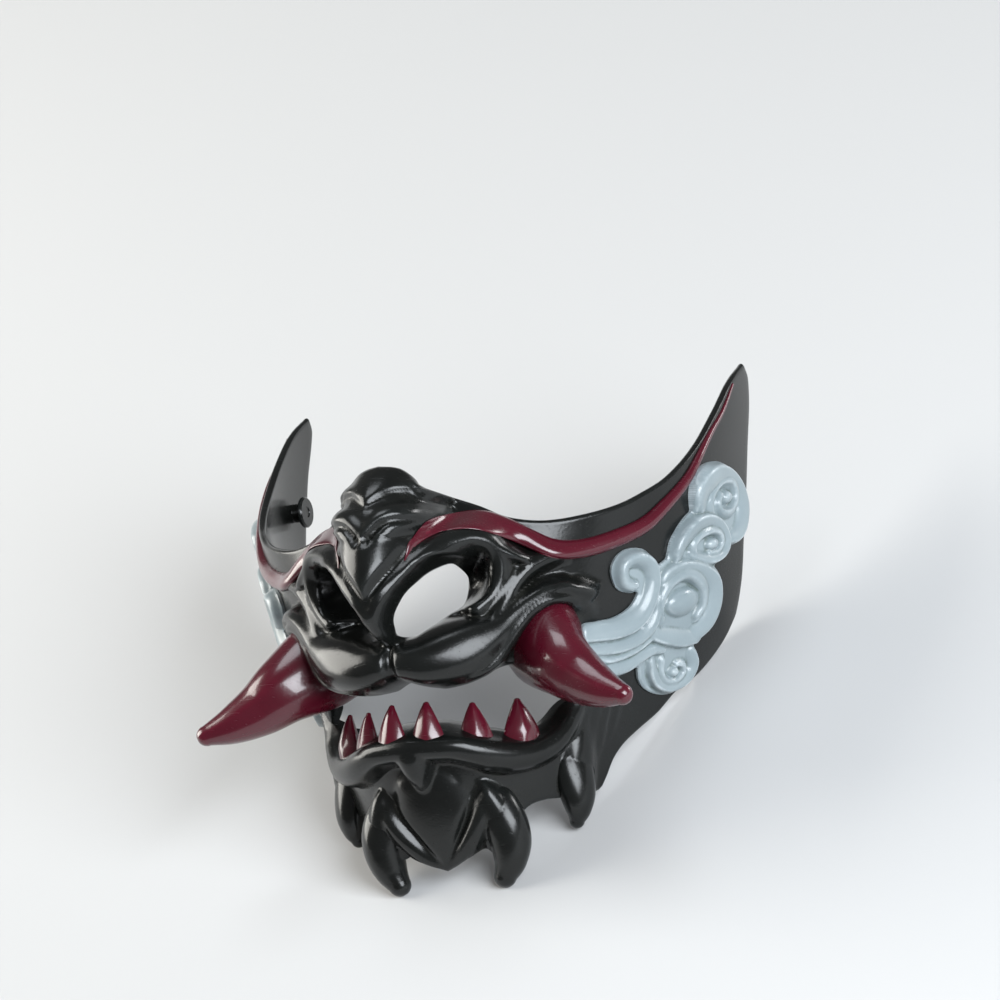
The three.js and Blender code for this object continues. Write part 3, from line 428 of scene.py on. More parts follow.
def cubic_read(values, row, column):
    """Values of a grid between its rows and columns: a cubic through the four nearest of each."""
    def weights(at):
        i = np.floor(at).astype(int)
        t = at - i
        return i, [(-t + 2 * t**2 - t**3) / 2, (2 - 5 * t**2 + 3 * t**3) / 2,
                   (t + 4 * t**2 - 3 * t**3) / 2, (t**3 - t**2) / 2]
    (i, down), (j, over) = weights(row), weights(column)
    total = 0
    for a in range(4):
        for b in range(4):
            total = total + down[a] * over[b] * values[i + a - 1, j + b - 1]
    return total


# Edge of the opening in each nostril: across, down
NOSTRIL_EDGE = [
    [1.6, 42.2], [2.1, 38.9], [3.2, 35.7], [4.6, 32.9], [6.5, 30.1], [8.5, 27.7], [10.8, 26], [12, 26],
    [12.6, 28], [12.7, 30.6], [12.5, 33.2], [11.8, 35.6], [10.2, 36.8], [8, 37.9], [5.8, 39.4], [3.4, 42]]
# Radius of its edge and the wall there in mm, and how the wall thickens with distance squared
NOSTRIL_RADIUS, NOSTRIL_WALL, NOSTRIL_WALL_GROWTH = 0.9, 2.2, 0.35
# Rings from the grid to the edge, how they crowd to it, cells left round it, steps between its points
NOSTRIL_RINGS, RING_CROWDING, NOSTRIL_MARGIN, NOSTRIL_STEPS = 22, 1.8, 5, 12


def grid_place(across, down):
    """Row and column, with fractions, of a place on the upper block's half grid."""
    shares, _ = shell_shares()
    share = 100 * across / rear_angle(down)
    downs = column_downs(share)[:UPPER_ROWS + 1]
    row = np.sum(downs <= down, 0) - 1
    here = np.take_along_axis(downs, row[None], 0)[0]
    below = np.take_along_axis(downs, row[None] + 1, 0)[0]
    return row + (down - here) / (below - here), np.interp(share, shares, np.arange(len(shares)))


def nostril_patch(grids, middle):
    """Rings of grid places from a block of cells in to the nostril's edge, closer together towards
    it, and the values of each grid there; the outer heights roll over at the edge."""
    across, down, outer, inner = grids
    edge_row, edge_column = grid_place(*closed_line(NOSTRIL_EDGE, NOSTRIL_STEPS).T)
    edge_column = edge_column + middle
    top, bottom, left, right = [
        int(end) + way for at in (edge_row, edge_column)
        for end, way in ((at.min(), -NOSTRIL_MARGIN), (at.max(), NOSTRIL_MARGIN + 1))]
    low, high = np.arange(left, right), np.arange(top, bottom)
    border = np.concatenate([
        np.stack([0 * low + top, low]), np.stack([high, 0 * high + right]),
        np.stack([0 * low + bottom, low[::-1] + 1]), np.stack([high[::-1] + 1, 0 * high + left])], 1)
    edge = np.stack([edge_row, edge_column])
    centre = (edge.min(1, keepdims=True) + edge.max(1, keepdims=True)) / 2
    turn = np.arctan2(*(border - centre))
    edge = edge - centre
    angle = np.arctan2(*edge)
    order = np.argsort(angle)
    reach = np.interp(turn, angle[order], np.hypot(*edge)[order], period=2 * np.pi)
    edge = centre + reach * np.stack([np.sin(turn), np.cos(turn)])
    step = 1 - (1 - np.linspace(0, 1, NOSTRIL_RINGS)) ** RING_CROWDING
    rings = border + (edge - border) * step[:, None, None]
    values = [cubic_read(grid, rings[:, 0], rings[:, 1]) for grid in (across, down, outer, inner)]
    places = face_curve(values[0], values[1])
    away = np.linalg.norm(places - places[-1], axis=-1)
    drop = rounded_edge(away, NOSTRIL_RADIUS)
    values[2] = values[2] - drop
    values[3] = np.maximum(values[3], values[2] - NOSTRIL_WALL - NOSTRIL_WALL_GROWTH * away**2)
    values[3] = np.minimum(values[3] + drop, values[2] - THINNEST_WALL)
    return (top, bottom, left, right), border, values


def shell_mesh():
    """Points and faces of the closed wall between the outer and the inner grid, open at the mouth and
    the nostrils."""
    across, down, outer, inner, corner = shell_surface()
    rows, columns = across.shape
    middle = columns // 2
    ids = np.arange(rows * columns).reshape(rows, columns)
    closed = np.abs(np.arange(columns) - middle) >= corner
    ids[UPPER_ROWS + 1, closed] = ids[UPPER_ROWS, closed]
    (top, bottom, left, right), border, patch = nostril_patch((across, down, outer, inner), middle)
    kept = np.ones((rows - 1, columns - 1), bool)
    kept[top:bottom, left:right] = False
    kept[top:bottom, columns - 1 - right:columns - 1 - left] = False
    kept[UPPER_ROWS] = False
    quads = [grid_quads(ids)[kept]]
    grids = [across.ravel(), down.ravel(), outer.ravel(), inner.ravel()]
    for side in (1, -1):
        rings = len(grids[0]) + np.arange(patch[0].size).reshape(patch[0].shape)
        rings[0] = ids[border[0], middle + side * (border[1] - middle)]
        quads.append(ring_quads(rings)[..., ::side].reshape(-1, 4))
        grids = [np.concatenate([grid, part.ravel()])
                 for grid, part in zip(grids, (side * patch[0], *patch[1:]))]
    across, down, outer, inner = grids
    points = np.concatenate([on_face(across, down, outer), on_face(across, down, inner)])
    return in_frame(points), [walled(np.concatenate(quads), len(across))]


def grid_quads(ids):
    """The four corners of every cell of a grid of point numbers."""
    return np.stack([ids[:-1, :-1], ids[1:, :-1], ids[1:, 1:], ids[:-1, 1:]], -1)


def ring_quads(ids):
    """As grid_quads, with each row closed on itself."""
    return grid_quads(np.hstack([ids, ids[:, :1]]))


def walled(quads, count):
    """Faces of a wall between a sheet of faces and its copy, whose points come so many later: both
    sheets, and a rim along every edge that only one face has."""
    edges = np.concatenate([quads[:, [k, (k + 1) % 4]] for k in range(4)])
    size = quads.max() + 1
    rim = edges[~np.isin(edges[:, 0] * size + edges[:, 1], edges[:, 1] * size + edges[:, 0])]
    rim = np.column_stack([rim[:, 1], rim[:, 0], rim[:, 0] + count, rim[:, 1] + count])
    return np.concatenate([quads, quads[:, ::-1] + count, rim])


# ---------------------------------------------------------------- meshes
# Edges sharper than this stay sharp under smooth shading
SHARP_ANGLE, SHELL_SHARP_ANGLE = math.radians(40), math.radians(50)


def new_piece(name, points, groups):
    """A closed mesh object from points in metres and arrays of faces, turned to point outwards: they
    are turned round where the corner determinants of their fans of triangles add up below nothing."""
    volume = sum(np.sum(np.cross(points[faces[:, 0]], points[faces[:, k]]) * points[faces[:, k + 1]])
                 for faces in groups for k in range(1, faces.shape[1] - 1))
    if volume < 0:
        groups = [faces[:, ::-1] for faces in groups]
    used, corners = np.unique(np.concatenate([faces.ravel() for faces in groups]), return_inverse=True)
    parts = np.split(corners, np.cumsum([faces.size for faces in groups])[:-1])
    mesh = bpy.data.meshes.new(name)
    mesh.from_pydata(points[used].tolist(), [], [
        face for part, faces in zip(parts, groups) for face in part.reshape(faces.shape).tolist()])
    mesh.polygons.foreach_set("use_smooth", np.ones(len(mesh.polygons), bool))
    mesh.set_sharp_from_angle(angle=SHARP_ANGLE)
    piece = bpy.data.objects.new(name, mesh)
    bpy.context.scene.collection.objects.link(piece)
    return piece


def combined(piece, others, operation, sharp_angle):
    """Joins the piece with each of the others, or cuts it by them, into one closed mesh."""
    for other in others:
        cut = piece.modifiers.new(operation.title(), "BOOLEAN")
        cut.operation = operation
        cut.solver = "MANIFOLD"
        cut.object = other
    depsgraph = bpy.context.evaluated_depsgraph_get()
    mesh = bpy.data.meshes.new_from_object(piece.evaluated_get(depsgraph))
    piece.modifiers.clear()
    old, piece.data = piece.data, mesh
    mesh.name = piece.name
    mesh.set_sharp_from_angle(angle=sharp_angle)
    for data in (old, *[other.data for other in others]):
        bpy.data.meshes.remove(data)


def lofted(name, rings):
    """A closed body through a stack of rings of points in the frame, each end closed on its middle."""
    count, sides = rings.shape[:2]
    points = np.concatenate([rings.reshape(-1, 3), rings[[0, -1]].mean(1)])
    ids = np.arange(count * sides).reshape(count, sides)
    turn = np.roll(ids, -1, 1)
    start = np.column_stack([ids[0], turn[0], np.full(sides, count * sides)])
    end = np.column_stack([turn[-1], ids[-1], np.full(sides, count * sides + 1)])
    return new_piece(name, points, [ring_quads(ids).reshape(-1, 4), start, end])


def block(name, grids):
    """A closed body between two grids of points in the frame."""
    ids = np.arange(grids[0].size // 3).reshape(grids.shape[1:3])
    return new_piece(name, grids.reshape(-1, 3), [walled(grid_quads(ids).reshape(-1, 4), ids.size)])


def prism(name, lines):
    """A closed body between two closed lines of points in the frame, each capped by one face."""
    ids = np.arange(2 * lines.shape[1]).reshape(2, -1)
    return new_piece(name, lines.reshape(-1, 3), [ring_quads(ids).reshape(-1, 4), ids[:1], ids[1:, ::-1]])


# ---------------------------------------------------------------- limbs
# Fangs, spikes and tusks: across, down, height, width and thickness in percent; the tusk's way out
FANG = [
    [13.8, 79, -3, 62, 56], [15.2, 83.4, 8, 92, 84], [16.6, 88.4, 16.5, 106, 100],
    [17.1, 93.4, 20, 102, 98], [16.2, 98, 21.5, 82, 84], [14.4, 101.6, 22.6, 56, 58]]
SPIKE = [
    [37.2, 66, -12, 60, 44], [36.6, 72, -5, 100, 66], [36, 77.5, 2.4, 122, 80], [35.6, 82.4, 6.6, 124, 88],
    [35.4, 86.8, 8.8, 108, 86], [35, 90.2, 9, 78, 70], [34.5, 92.6, 8.2, 46, 46]]
TUSK = [
    [29.4, 46.6, -6, 84, 102], [29, 47.7, 10, 80, 100], [28.8, 49.5, 37, 67, 79], [30.2, 51.6, 57, 56, 62],
    [31.4, 52.6, 78, 42, 44], [32.6, 52.5, 96, 23, 24]]
TUSK_OUT = np.array([0.53, 0.84, 0.1])
# Up from the lip, out of the face, width and thickness, in percent
TOOTH = np.array([
    [-2.4, 0, 112, 104], [0.6, 0, 107, 100], [3.6, -2, 83, 80], [6.5, -5, 48, 50], [8.2, -7.4, 22, 25]])
# Across, down, height and size in percent
TEETH = [[3.6, 66.2, 35, 96], [12.6, 67.8, 22, 98], [22.8, 68.6, 15, 108]]
# The tusk's keel: its lift, where it starts, where it stands round the tusk and how wide it spreads
TUSK_KEEL, KEEL_START, KEEL_ANGLE, KEEL_SPREAD = 0.09, 0.25, math.radians(162), 0.22
# The power of a cross section: 2 is an ellipse, less is squeezed towards a diamond
ROUND_SECTION, TOOTH_SECTION = 2.0, 1.5
# Rings along a limb and along a tooth, points in each ring, and steps round the tip
LIMB_STEPS, TOOTH_STEPS, LIMB_SIDES, TIP_STEPS = 48, 30, 40, 7
# Sizes of the limbs in mm
FANG_THICKNESS, SPIKE_THICKNESS, TUSK_LENGTH, TUSK_THICKNESS = 12.5, 10.3, 44.0, 27.0
TOOTH_WIDTH, TOOTH_DEPTH = 9.6, 6.4


def limb_rings(rows, length, width, thickness, out=None, steps=LIMB_STEPS, keel=0.0, section=ROUND_SECTION):
    """Rings of a horn: at each step along its line the curve where the two cross sizes, each to the
    section's power, add up to one, its thickness along the way out, and a tip rounded off as a half
    circle. A keel lifts a soft edge on one side, from a quarter of the length on."""
    rows = np.array(rows, float)
    stations = np.column_stack([
        on_face(rows[:, 0], rows[:, 1], length * rows[:, 2] / 100),
        width / 2 * rows[:, 3] / 100, thickness / 2 * rows[:, 4] / 100,
        face_normal(rows[:, 0], rows[:, 1]) if out is None else np.tile(out, (len(rows), 1))])
    stations = through(stations, steps)
    tip = stations[-1]
    along = unit(tip[:3] - stations[-2, :3])
    turn = np.linspace(0, np.pi / 2, TIP_STEPS)[1:-1, None]
    cap = np.hstack([tip[:3] + along * tip[4] * np.sin(turn), tip[3:5] * np.cos(turn), tip[5:] + 0 * turn])
    stations = np.concatenate([stations, cap])
    line, wide, thick, way = stations[:, :3], stations[:, 3:4], stations[:, 4:5], stations[:, 5:]
    tangent = unit(np.gradient(line, axis=0))
    outward = unit(way - np.sum(way * tangent, -1, keepdims=True) * tangent)
    side = np.cross(outward, tangent)
    angle = np.linspace(0, 2 * np.pi, LIMB_SIDES, endpoint=False)
    grown = np.clip((np.linspace(0, 1, len(stations)) - KEEL_START) / KEEL_START, 0, 1)[:, None]
    lift = 1 + keel * grown * np.exp(-np.abs(np.angle(np.exp(1j * (angle - KEEL_ANGLE)))) / KEEL_SPREAD)
    corner = (np.abs(np.cos(angle)) ** section + np.abs(np.sin(angle)) ** section) ** (-1 / section)
    x = (wide * np.cos(angle) * lift * corner)[..., None]
    y = (thick * np.sin(angle) * lift * corner)[..., None]
    return line[:, None] + side[:, None] * x + outward[:, None] * y


SIDES, MIRROR = ("left", "right"), np.array([-1, 1, 1])


def both_sides(points):
    """The left body's points and their mirror image, in the frame."""
    return in_frame(points), in_frame(points * MIRROR)


# ---------------------------------------------------------------- the ridges that lie on the skin
# Across, down, percent of the full width and rise
RIDGE = [
    [5.9, 25.4, 6], [6.6, 23, 18], [7.8, 20.1, 36], [9.3, 17.6, 58], [11.2, 15.9, 80], [13.6, 15.2, 94],
    [16.5, 15.2, 100], [19.4, 16.1, 102], [23, 18.4, 104], [26.5, 21.1, 102], [31.3, 24.5, 100],
    [36.4, 25.8, 100], [42.2, 25.4, 98], [50.5, 23, 88], [56.2, 18.7, 74], [62.1, 13.4, 58], [67, 7.5, 44],
    [71, 3.2, 34], [76.3, -1.3, 25], [82.5, -7.5, 15]]
RIDGE_WIDTH, RIDGE_RISE, RIDGE_STEPS, RIDGE_SIDES = 5.6, 3.0, 160, 25
# Steps for the skin's slopes, the gap over the skin in mm, and how often the skin under it is evened
SKIN_STEP, SKIN_GAP, SKIN_PASSES, BUMP_PASSES = 0.5, 0.05, 60, 40


def ridge_rings():
    """Rings of a ridge on the skin: across it, the height over the skin is the rise times the root
    of (1 - offset squared), and its underside follows the skin."""
    across, down, size = through(RIDGE, RIDGE_STEPS).T
    half, rise = RIDGE_WIDTH / 2 * size / 100, RIDGE_RISE * size / 100
    line = face_curve(across, down)
    ways = [face_curve(across + SKIN_STEP, down) - face_curve(across - SKIN_STEP, down),
            face_curve(across, down + SKIN_STEP) - face_curve(across, down - SKIN_STEP)]
    side = np.cross(face_normal(across, down), unit(np.gradient(line, axis=0)))
    first, second, cross = [np.sum(a * b, -1) for a, b in ((ways[0],) * 2, (ways[1],) * 2, ways)]
    on = [np.sum(side * way, -1) for way in ways]
    scale = first * second - cross**2
    per_mm = np.stack([(second * on[0] - cross * on[1]) / scale, (first * on[1] - cross * on[0]) / scale])
    offset = np.sin(np.linspace(-np.pi / 2, np.pi / 2, RIDGE_SIDES))
    places = np.stack([across, down])[:, :, None] + per_mm[:, :, None] * half[:, None] * offset
    skin = relief(*places)
    evened = eased(skin, passes=SKIN_PASSES)
    evened = evened + eased(np.maximum(skin - evened, 0), passes=BUMP_PASSES)
    top = evened + rise[:, None] * np.sqrt(np.maximum(1 - offset**2, 0)) + SKIN_GAP
    top[:, [0, -1]] = skin[:, [0, -1]] + SKIN_GAP
    base = np.s_[:, -2:0:-1]
    under = on_face(places[0][base], places[1][base], skin[base] + SKIN_GAP)
    return np.concatenate([on_face(*places, top), under], 1)


# ---------------------------------------------------------------- scroll clouds
# Edge of the whole cloud: across, down, clockwise from the tusk
CLOUD_EDGE = [
    [36.2, 46], [37, 44.2], [40, 44.1], [44, 44], [47.4, 42.5], [49.2, 39.8], [48.8, 38.7], [47.4, 38.8],
    [45.1, 37.8], [43.8, 35.8], [43.2, 32.4], [44.2, 29.6], [46, 28.2], [47.9, 27.9], [50.3, 28.6],
    [52.3, 30.8], [53.5, 33], [54.4, 33.2], [56, 32.3], [56.4, 31], [57.1, 28], [58.9, 25], [61, 22.7],
    [62.3, 21.7], [62.3, 20.3], [62.2, 17.4], [63, 14.2], [65.2, 11.5], [68.5, 10.5], [72.2, 11.1],
    [75.6, 13.5], [78.2, 17.3], [79.5, 21.5], [79.5, 25.5], [78.4, 29], [76.7, 31.6], [74.3, 32.4],
    [73, 32.5], [72, 34.3], [70.2, 35.7], [69, 36.6], [69.9, 38.8], [70.7, 42], [71, 45.5], [70.7, 48.7],
    [69.4, 51.3], [67.6, 53.3], [66.4, 54.6], [67.4, 57.3], [68.2, 60.4], [67.8, 63], [66, 65.2],
    [63, 66.5], [60, 66.4], [57, 65.2], [54.4, 63.2], [52.8, 61], [52, 58.8], [51.5, 57.6], [50, 57.8],
    [46.6, 58.8], [43, 59], [40, 57], [38, 53], [36.7, 49]]
# Crests: across, down, rise over the plate, reach to the left and to the right of the way along, in mm
CRESTS = {
    "hook": [
        [35, 47.4, 1.5, 4.6, 0.9], [39.5, 47.9, 1.7, 4.8, 0.9], [44, 48.2, 1.9, 5, 0.9],
        [48, 47.5, 2, 5.2, 0.9], [50.7, 45.4, 2.1, 5.2, 1], [52.2, 42.4, 2.1, 4.8, 1],
        [52.9, 39, 2.1, 4.4, 1.1], [53, 35.4, 2.1, 4.2, 1.1], [51.9, 32, 2.2, 4, 1.2],
        [49.6, 30, 2.4, 3.8, 1.6], [47.2, 29.7, 2.5, 3.4, 1.8], [45.4, 31, 2.4, 3, 2],
        [44.9, 33.2, 2.3, 2.8, 2], [45.5, 35.6, 2.1, 2.6, 2], [47, 37, 1.9, 2.2, 1.8],
        [48, 36.9, 1.6, 1.6, 1.6]],
    "second band": [
        [38, 51, 1.1, 2.4, 0.8], [42, 51.7, 1.5, 2.8, 0.9], [46.5, 51.8, 1.7, 3, 0.9],
        [50.3, 50.7, 1.8, 3.2, 0.9], [53, 48.3, 1.8, 3.2, 0.9], [54.3, 45, 1.6, 3, 0.9],
        [54.2, 41.6, 1.3, 2.4, 1.2]],
    "third band": [
        [40, 52.8, 1, 1.2, 0.8], [43.6, 54, 1.5, 1.8, 0.9], [48.8, 53.1, 1.7, 2.2, 0.9],
        [52.6, 51, 1.6, 2.2, 0.9], [54.4, 49.6, 1.2, 2, 0.9]],
    "lower band": [
        [42, 57, 1, 2.6, 1.6], [47.6, 56.9, 1.6, 3, 1.4], [51, 55.4, 1.8, 3, 1.2],
        [54, 54.2, 1.7, 2.6, 1.2], [57, 54.6, 1.3, 2, 1]],
    "centre rim": [
        [54.6, 38, 1, 1.2, 2.4], [55.4, 35.4, 1.6, 1.4, 3.4], [58.4, 33.9, 1.9, 1.2, 3.8],
        [62, 34.4, 2, 1.2, 4.4], [65.7, 36.2, 2, 1.2, 5.4], [68.7, 39, 2, 1, 6], [69.9, 42.6, 2, 1, 6.4],
        [70, 46.4, 2, 1, 6.4], [69, 49.9, 2, 1, 6], [66.8, 52.4, 1.8, 1, 5], [64.6, 53.6, 1.4, 1, 4]],
    "centre ring": [
        [55.4, 47, 1.2, 2, 1.4], [54.5, 43.6, 1.7, 2, 1.5], [54.9, 40.4, 2, 2.4, 1.7],
        [56.8, 37.9, 2.2, 3, 1.9], [59.8, 36.8, 2.3, 3.6, 2], [62.7, 38.4, 2.3, 3.6, 1.9],
        [64.7, 41.4, 2.2, 3.4, 1.8], [65.3, 44.8, 2, 3, 1.7], [64.6, 47.4, 1.5, 2.4, 1.5]],
    "centre floor": [
        [51.6, 48.8, 1.1, 2.4, 0.8], [54, 50.9, 1.7, 3.4, 0.9], [58, 52.8, 2, 4.4, 0.9],
        [62, 54, 2, 4.4, 0.9], [65.8, 54, 1.6, 3, 0.9]],
    "second rim": [
        [57.4, 31.4, 1.6, 1, 3.6], [58.1, 28.2, 2.1, 1.2, 4.6], [60.1, 25.4, 2.4, 1.3, 5.2],
        [62.7, 23.6, 2.5, 1.2, 5], [65.8, 23.4, 2.3, 1, 4.4], [68.9, 25, 2.1, 1, 4], [71.2, 28, 2, 1, 3.6],
        [71.9, 31.2, 2, 1, 3.4], [70.9, 33.7, 1.9, 1, 3.2], [68.7, 34.9, 1.9, 1, 3],
        [66, 34.9, 1.8, 1, 2.8], [63.4, 33.8, 1.5, 1, 2.6], [61.6, 32.4, 1, 1, 2]],
    "second ring": [
        [62.6, 32, 1.2, 2, 1], [62, 29.9, 1.7, 2.2, 1.2], [63.6, 28.1, 2, 2.4, 1.3],
        [66.4, 27.4, 2.1, 2.2, 1.4], [69, 28.4, 1.9, 1.8, 1.3], [69.9, 30.8, 1.7, 1.6, 1.2],
        [68.6, 32.7, 1.5, 1.4, 1.1], [66.4, 32.7, 1.3, 1.2, 1]],
    "top rim": [
        [63.6, 20.8, 1.6, 1, 4], [63.2, 17.6, 2.2, 1.3, 6], [64.1, 14.6, 2.6, 1.6, 7],
        [66.3, 12.8, 2.8, 1.6, 7.4], [69.2, 12, 2.6, 1.2, 7], [72.6, 12.9, 2.2, 1, 6],
        [75.5, 15.1, 2, 0.9, 5.4], [77.7, 18.3, 2, 0.9, 5.4], [78.8, 21.9, 2, 0.9, 5.4],
        [78.7, 25.4, 2, 0.9, 5.4], [77.6, 28.7, 2, 0.9, 5], [76, 30.7, 1.9, 0.9, 4.4],
        [74.2, 31.4, 1.5, 0.9, 3.4]],
    "top ring": [
        [67.6, 23.2, 1.1, 2.2, 1.1], [66.9, 20.4, 1.6, 2.4, 1.2], [68, 17.6, 1.9, 2.4, 1.3],
        [70.6, 15.9, 2.1, 2.4, 1.4], [73.4, 16.4, 2.1, 2.6, 1.4], [74.8, 18.7, 2, 2.8, 1.4],
        [74.6, 21.4, 1.9, 2.8, 1.3], [72.8, 23.4, 1.8, 2.4, 1.2], [70.4, 22.9, 1.6, 1.6, 1.1],
        [69.5, 20.9, 1.5, 1.3, 1], [70.4, 19, 1.4, 1.2, 1]],
    "bottom rim": [
        [54, 56.4, 1.2, 2.4, 1], [54.6, 59.2, 1.8, 3.4, 1], [56.2, 62.2, 2, 4, 1], [59, 64.7, 2, 4.2, 1],
        [62.2, 65.3, 2, 4.2, 1], [65.3, 64.1, 2, 4, 1], [67, 61.8, 1.9, 3.8, 1], [67.2, 59, 1.8, 3.6, 1],
        [66, 56.4, 1.4, 3, 1]],
    "bottom ring": [
        [57.6, 57, 1.2, 1.2, 2], [57.7, 59.6, 1.7, 1.3, 2.2], [59.2, 62, 1.9, 1.4, 2.2],
        [61.8, 62.8, 1.9, 1.4, 2.2], [63.8, 61.2, 1.8, 1.3, 2], [63.4, 59.2, 1.6, 1.2, 1.6],
        [61.6, 58.6, 1.5, 1, 1.2]],
}
# Knobs: across, down, half breadth, half height and rise over the plate in mm
KNOBS = [
    [60.2, 43.4, 7.4, 4.2, 2.4], [67.2, 30.6, 3, 2, 2.1], [71.9, 19.9, 2.6, 2.2, 2.3],
    [61.2, 60.4, 2.2, 1.8, 2.1]]
# The plate's thickness, its rounded edge, how far crests blend and the grid's step, all in mm
CLOUD_PLATE, CLOUD_EDGE_ROUND, CREST_BLEND, CLOUD_STEP = 1.3, 0.8, 0.12, 0.32
# Factor on every rise, power of a crest's flanks, steps between rows and between the edge's points
CREST_GAIN, CREST_ROUND, CREST_STEPS, EDGE_LINE_STEPS = 1.25, 0.7, 6, 6
# Margin of the block round the edge, and where the prism ends under and over the face, in mm
CLOUD_MARGIN, PRISM_ENDS = 1.0, (-14.0, 18.0)
# Angles of the wing and how far round it each is, in mm, at its middle level
WING_ANGLES, WING_LEVEL = np.linspace(30, 95, 261), 40.0
WING_ARC = np.concatenate([[0], np.cumsum(
    np.linalg.norm(np.diff(face_curve(WING_ANGLES, WING_LEVEL), axis=0), axis=1))])


def laid_flat(across, down):
    """Places on the wing laid out flat, in mm, to the rear and up."""
    return np.stack([np.interp(across, WING_ANGLES, WING_ARC), -FACE_HEIGHT * np.asarray(down) / 100], -1)


def crest_height(rows, places):
    """Height of a crest at each flat place: its rise times (1 - (distance / reach) squared) to the
    power of its flanks, with a reach of its own on each side of the line."""
    rows = stepped(rows, CREST_STEPS)
    line = laid_flat(rows[:, 0], rows[:, 1])
    best = np.zeros(len(places))
    for a, b, (rise, left, right) in zip(line, line[1:], (rows[:-1, 2:] + rows[1:, 2:]) / 2):
        _, off = beside(places, a, b)
        reach = np.where((b - a)[0] * off[:, 1] > (b - a)[1] * off[:, 0], left, right)
        best = np.maximum(best, rise * np.maximum(1 - np.sum(off**2, -1) / reach**2, 0) ** CREST_ROUND)
    return best


def inside_distance(places, line):
    """Distance of each flat place from a closed line, below nothing outside it."""
    nearest = np.full(len(places), np.inf)
    inside = np.zeros(len(places), bool)
    for a, b in zip(line, np.roll(line, -1, 0)):
        nearest = np.minimum(nearest, np.sum(beside(places, a, b)[1] ** 2, -1))
        crosses = (a[1] > places[:, 1]) != (b[1] > places[:, 1])
        slant = (b[0] - a[0]) / (b[1] - a[1] or 1e-9)
        inside ^= crosses & (places[:, 0] < a[0] + slant * (places[:, 1] - a[1]))
    return np.where(inside, 1, -1) * np.sqrt(nearest)


def cloud_body():
    """The cloud's relief as a closed block on the skin, and the prism of its edge that cuts it out."""
    edge = closed_line(CLOUD_EDGE, EDGE_LINE_STEPS)
    flat_edge = laid_flat(*edge.T)
    low, high = flat_edge.min(0) - CLOUD_MARGIN, flat_edge.max(0) + CLOUD_MARGIN
    count = np.ceil((high - low) / CLOUD_STEP).astype(int) + 1
    x, y = np.meshgrid(np.linspace(low[0], high[0], count[0]), np.linspace(high[1], low[1], count[1]))
    places = np.stack([x.ravel(), y.ravel()], -1)
    height = np.zeros(len(places))
    for rows in CRESTS.values():
        height = soft_max(height, crest_height(rows, places), CREST_BLEND)
    for across, down, broad, tall, rise in KNOBS:
        off = (places - laid_flat(across, down)) / [broad, tall]
        height = soft_max(height, rise * np.sqrt(np.maximum(1 - np.sum(off**2, -1), 0)), CREST_BLEND)
    drop = rounded_edge(inside_distance(places, flat_edge), CLOUD_EDGE_ROUND)
    height = eased((CLOUD_PLATE + CREST_GAIN * height - drop).reshape(x.shape))
    across, down = np.interp(x, WING_ARC, WING_ANGLES), -100 * y / FACE_HEIGHT
    skin = relief(across, down) + SKIN_GAP
    plate = np.stack([on_face(across, down, skin), on_face(across, down, skin + height)])
    return plate, np.stack([on_face(*edge.T, np.full(len(edge), end)) for end in PRISM_ENDS])


# ---------------------------------------------------------------- finishes
def linear(red, green, blue):
    """A colour on the 0-255 screen scale as linear light."""
    screen = np.array([red, green, blue]) / 255
    light = np.where(screen < 0.04045, screen / 12.92, ((screen + 0.055) / 1.055) ** 2.4)
    return tuple(light.tolist())


def scaled(colour, factor):
    """A colour made so many times brighter, up to white."""
    return tuple(min(factor * part, 1.0) for part in colour)


SHELL_COLOUR, TRIM_COLOUR, CLOUD_COLOUR = linear(12, 13, 12), linear(74, 9, 26), linear(128, 141, 146)
# By slot: the material, the properties that hold its colour and roughness, the paint's and the clear
# coat's own values
# In each finish the first colour is the paler tone of the random patches and a painted highlight along edges
# and crests; the second marks dust specks, and in creases it is pale dust on the black and painted shade,
# darker than the paint, on the burgundy and the clouds. The two numbers set how strong the edge highlight and
# the crease colour are.
FINISHES = {
    "black": (
        "black lacquer", "shell",
        {"Rubbed Color": linear(46, 49, 48), "Dust Color": linear(40, 40, 34), "Wear": 0.4, "Dust": 0.3},
        {"Coat Weight": 0.0, "Specular IOR Level": 0.42}),
    "burgundy": (
        "burgundy lacquer", "trim",
        {"Rubbed Color": scaled(TRIM_COLOUR, 2.2), "Dust Color": scaled(TRIM_COLOUR, 0.25),
         "Wear": 0.5, "Dust": 0.5},
        {"Coat Weight": 0.55, "Specular IOR Level": 0.5}),
    "cloud_grey": (
        "cloud paint", "cloud",
        {"Rubbed Color": linear(206, 216, 220), "Dust Color": linear(84, 98, 94), "Wear": 0.9, "Dust": 0.85},
        {"Coat Weight": 0.35, "Specular IOR Level": 0.5}),
}
COAT_ROUGHNESS, PEEL_STRENGTH, PEEL_DEPTH = 0.08, 0.25, 0.0001
# Scale, detail and roughness of each noise, and the turn and scale that draw hairlines out of one
NOISES = {"patches": (38.0, 5.0, 0.6), "peel": (1300.0, 2.0, 0.5), "specks": (2600.0, 1.0, 0.5),
          "broken": (160.0, 4.0, 0.7), "hairlines": (1.0, 2.0, 0.5)}
HAIRLINE_TURN, HAIRLINE_SCALE = (0.5, 0.3, 0.7), (60.0, 2400.0, 900.0)
# Where each mask goes from nothing to all; a crease bends the other way than an edge
PATCH_RANGE, SPECK_RANGE, BROKEN_RANGE, HAIRLINE_RANGE = (0.3, 0.7), (0.7, 0.78), (0.35, 0.65), (0.66, 0.72)
# The edge mask places a painted highlight; the crease mask places painted shade and dust.
EDGE_RANGE, CREASE_RANGE = (0.51, 0.55), (0.497, 0.462)
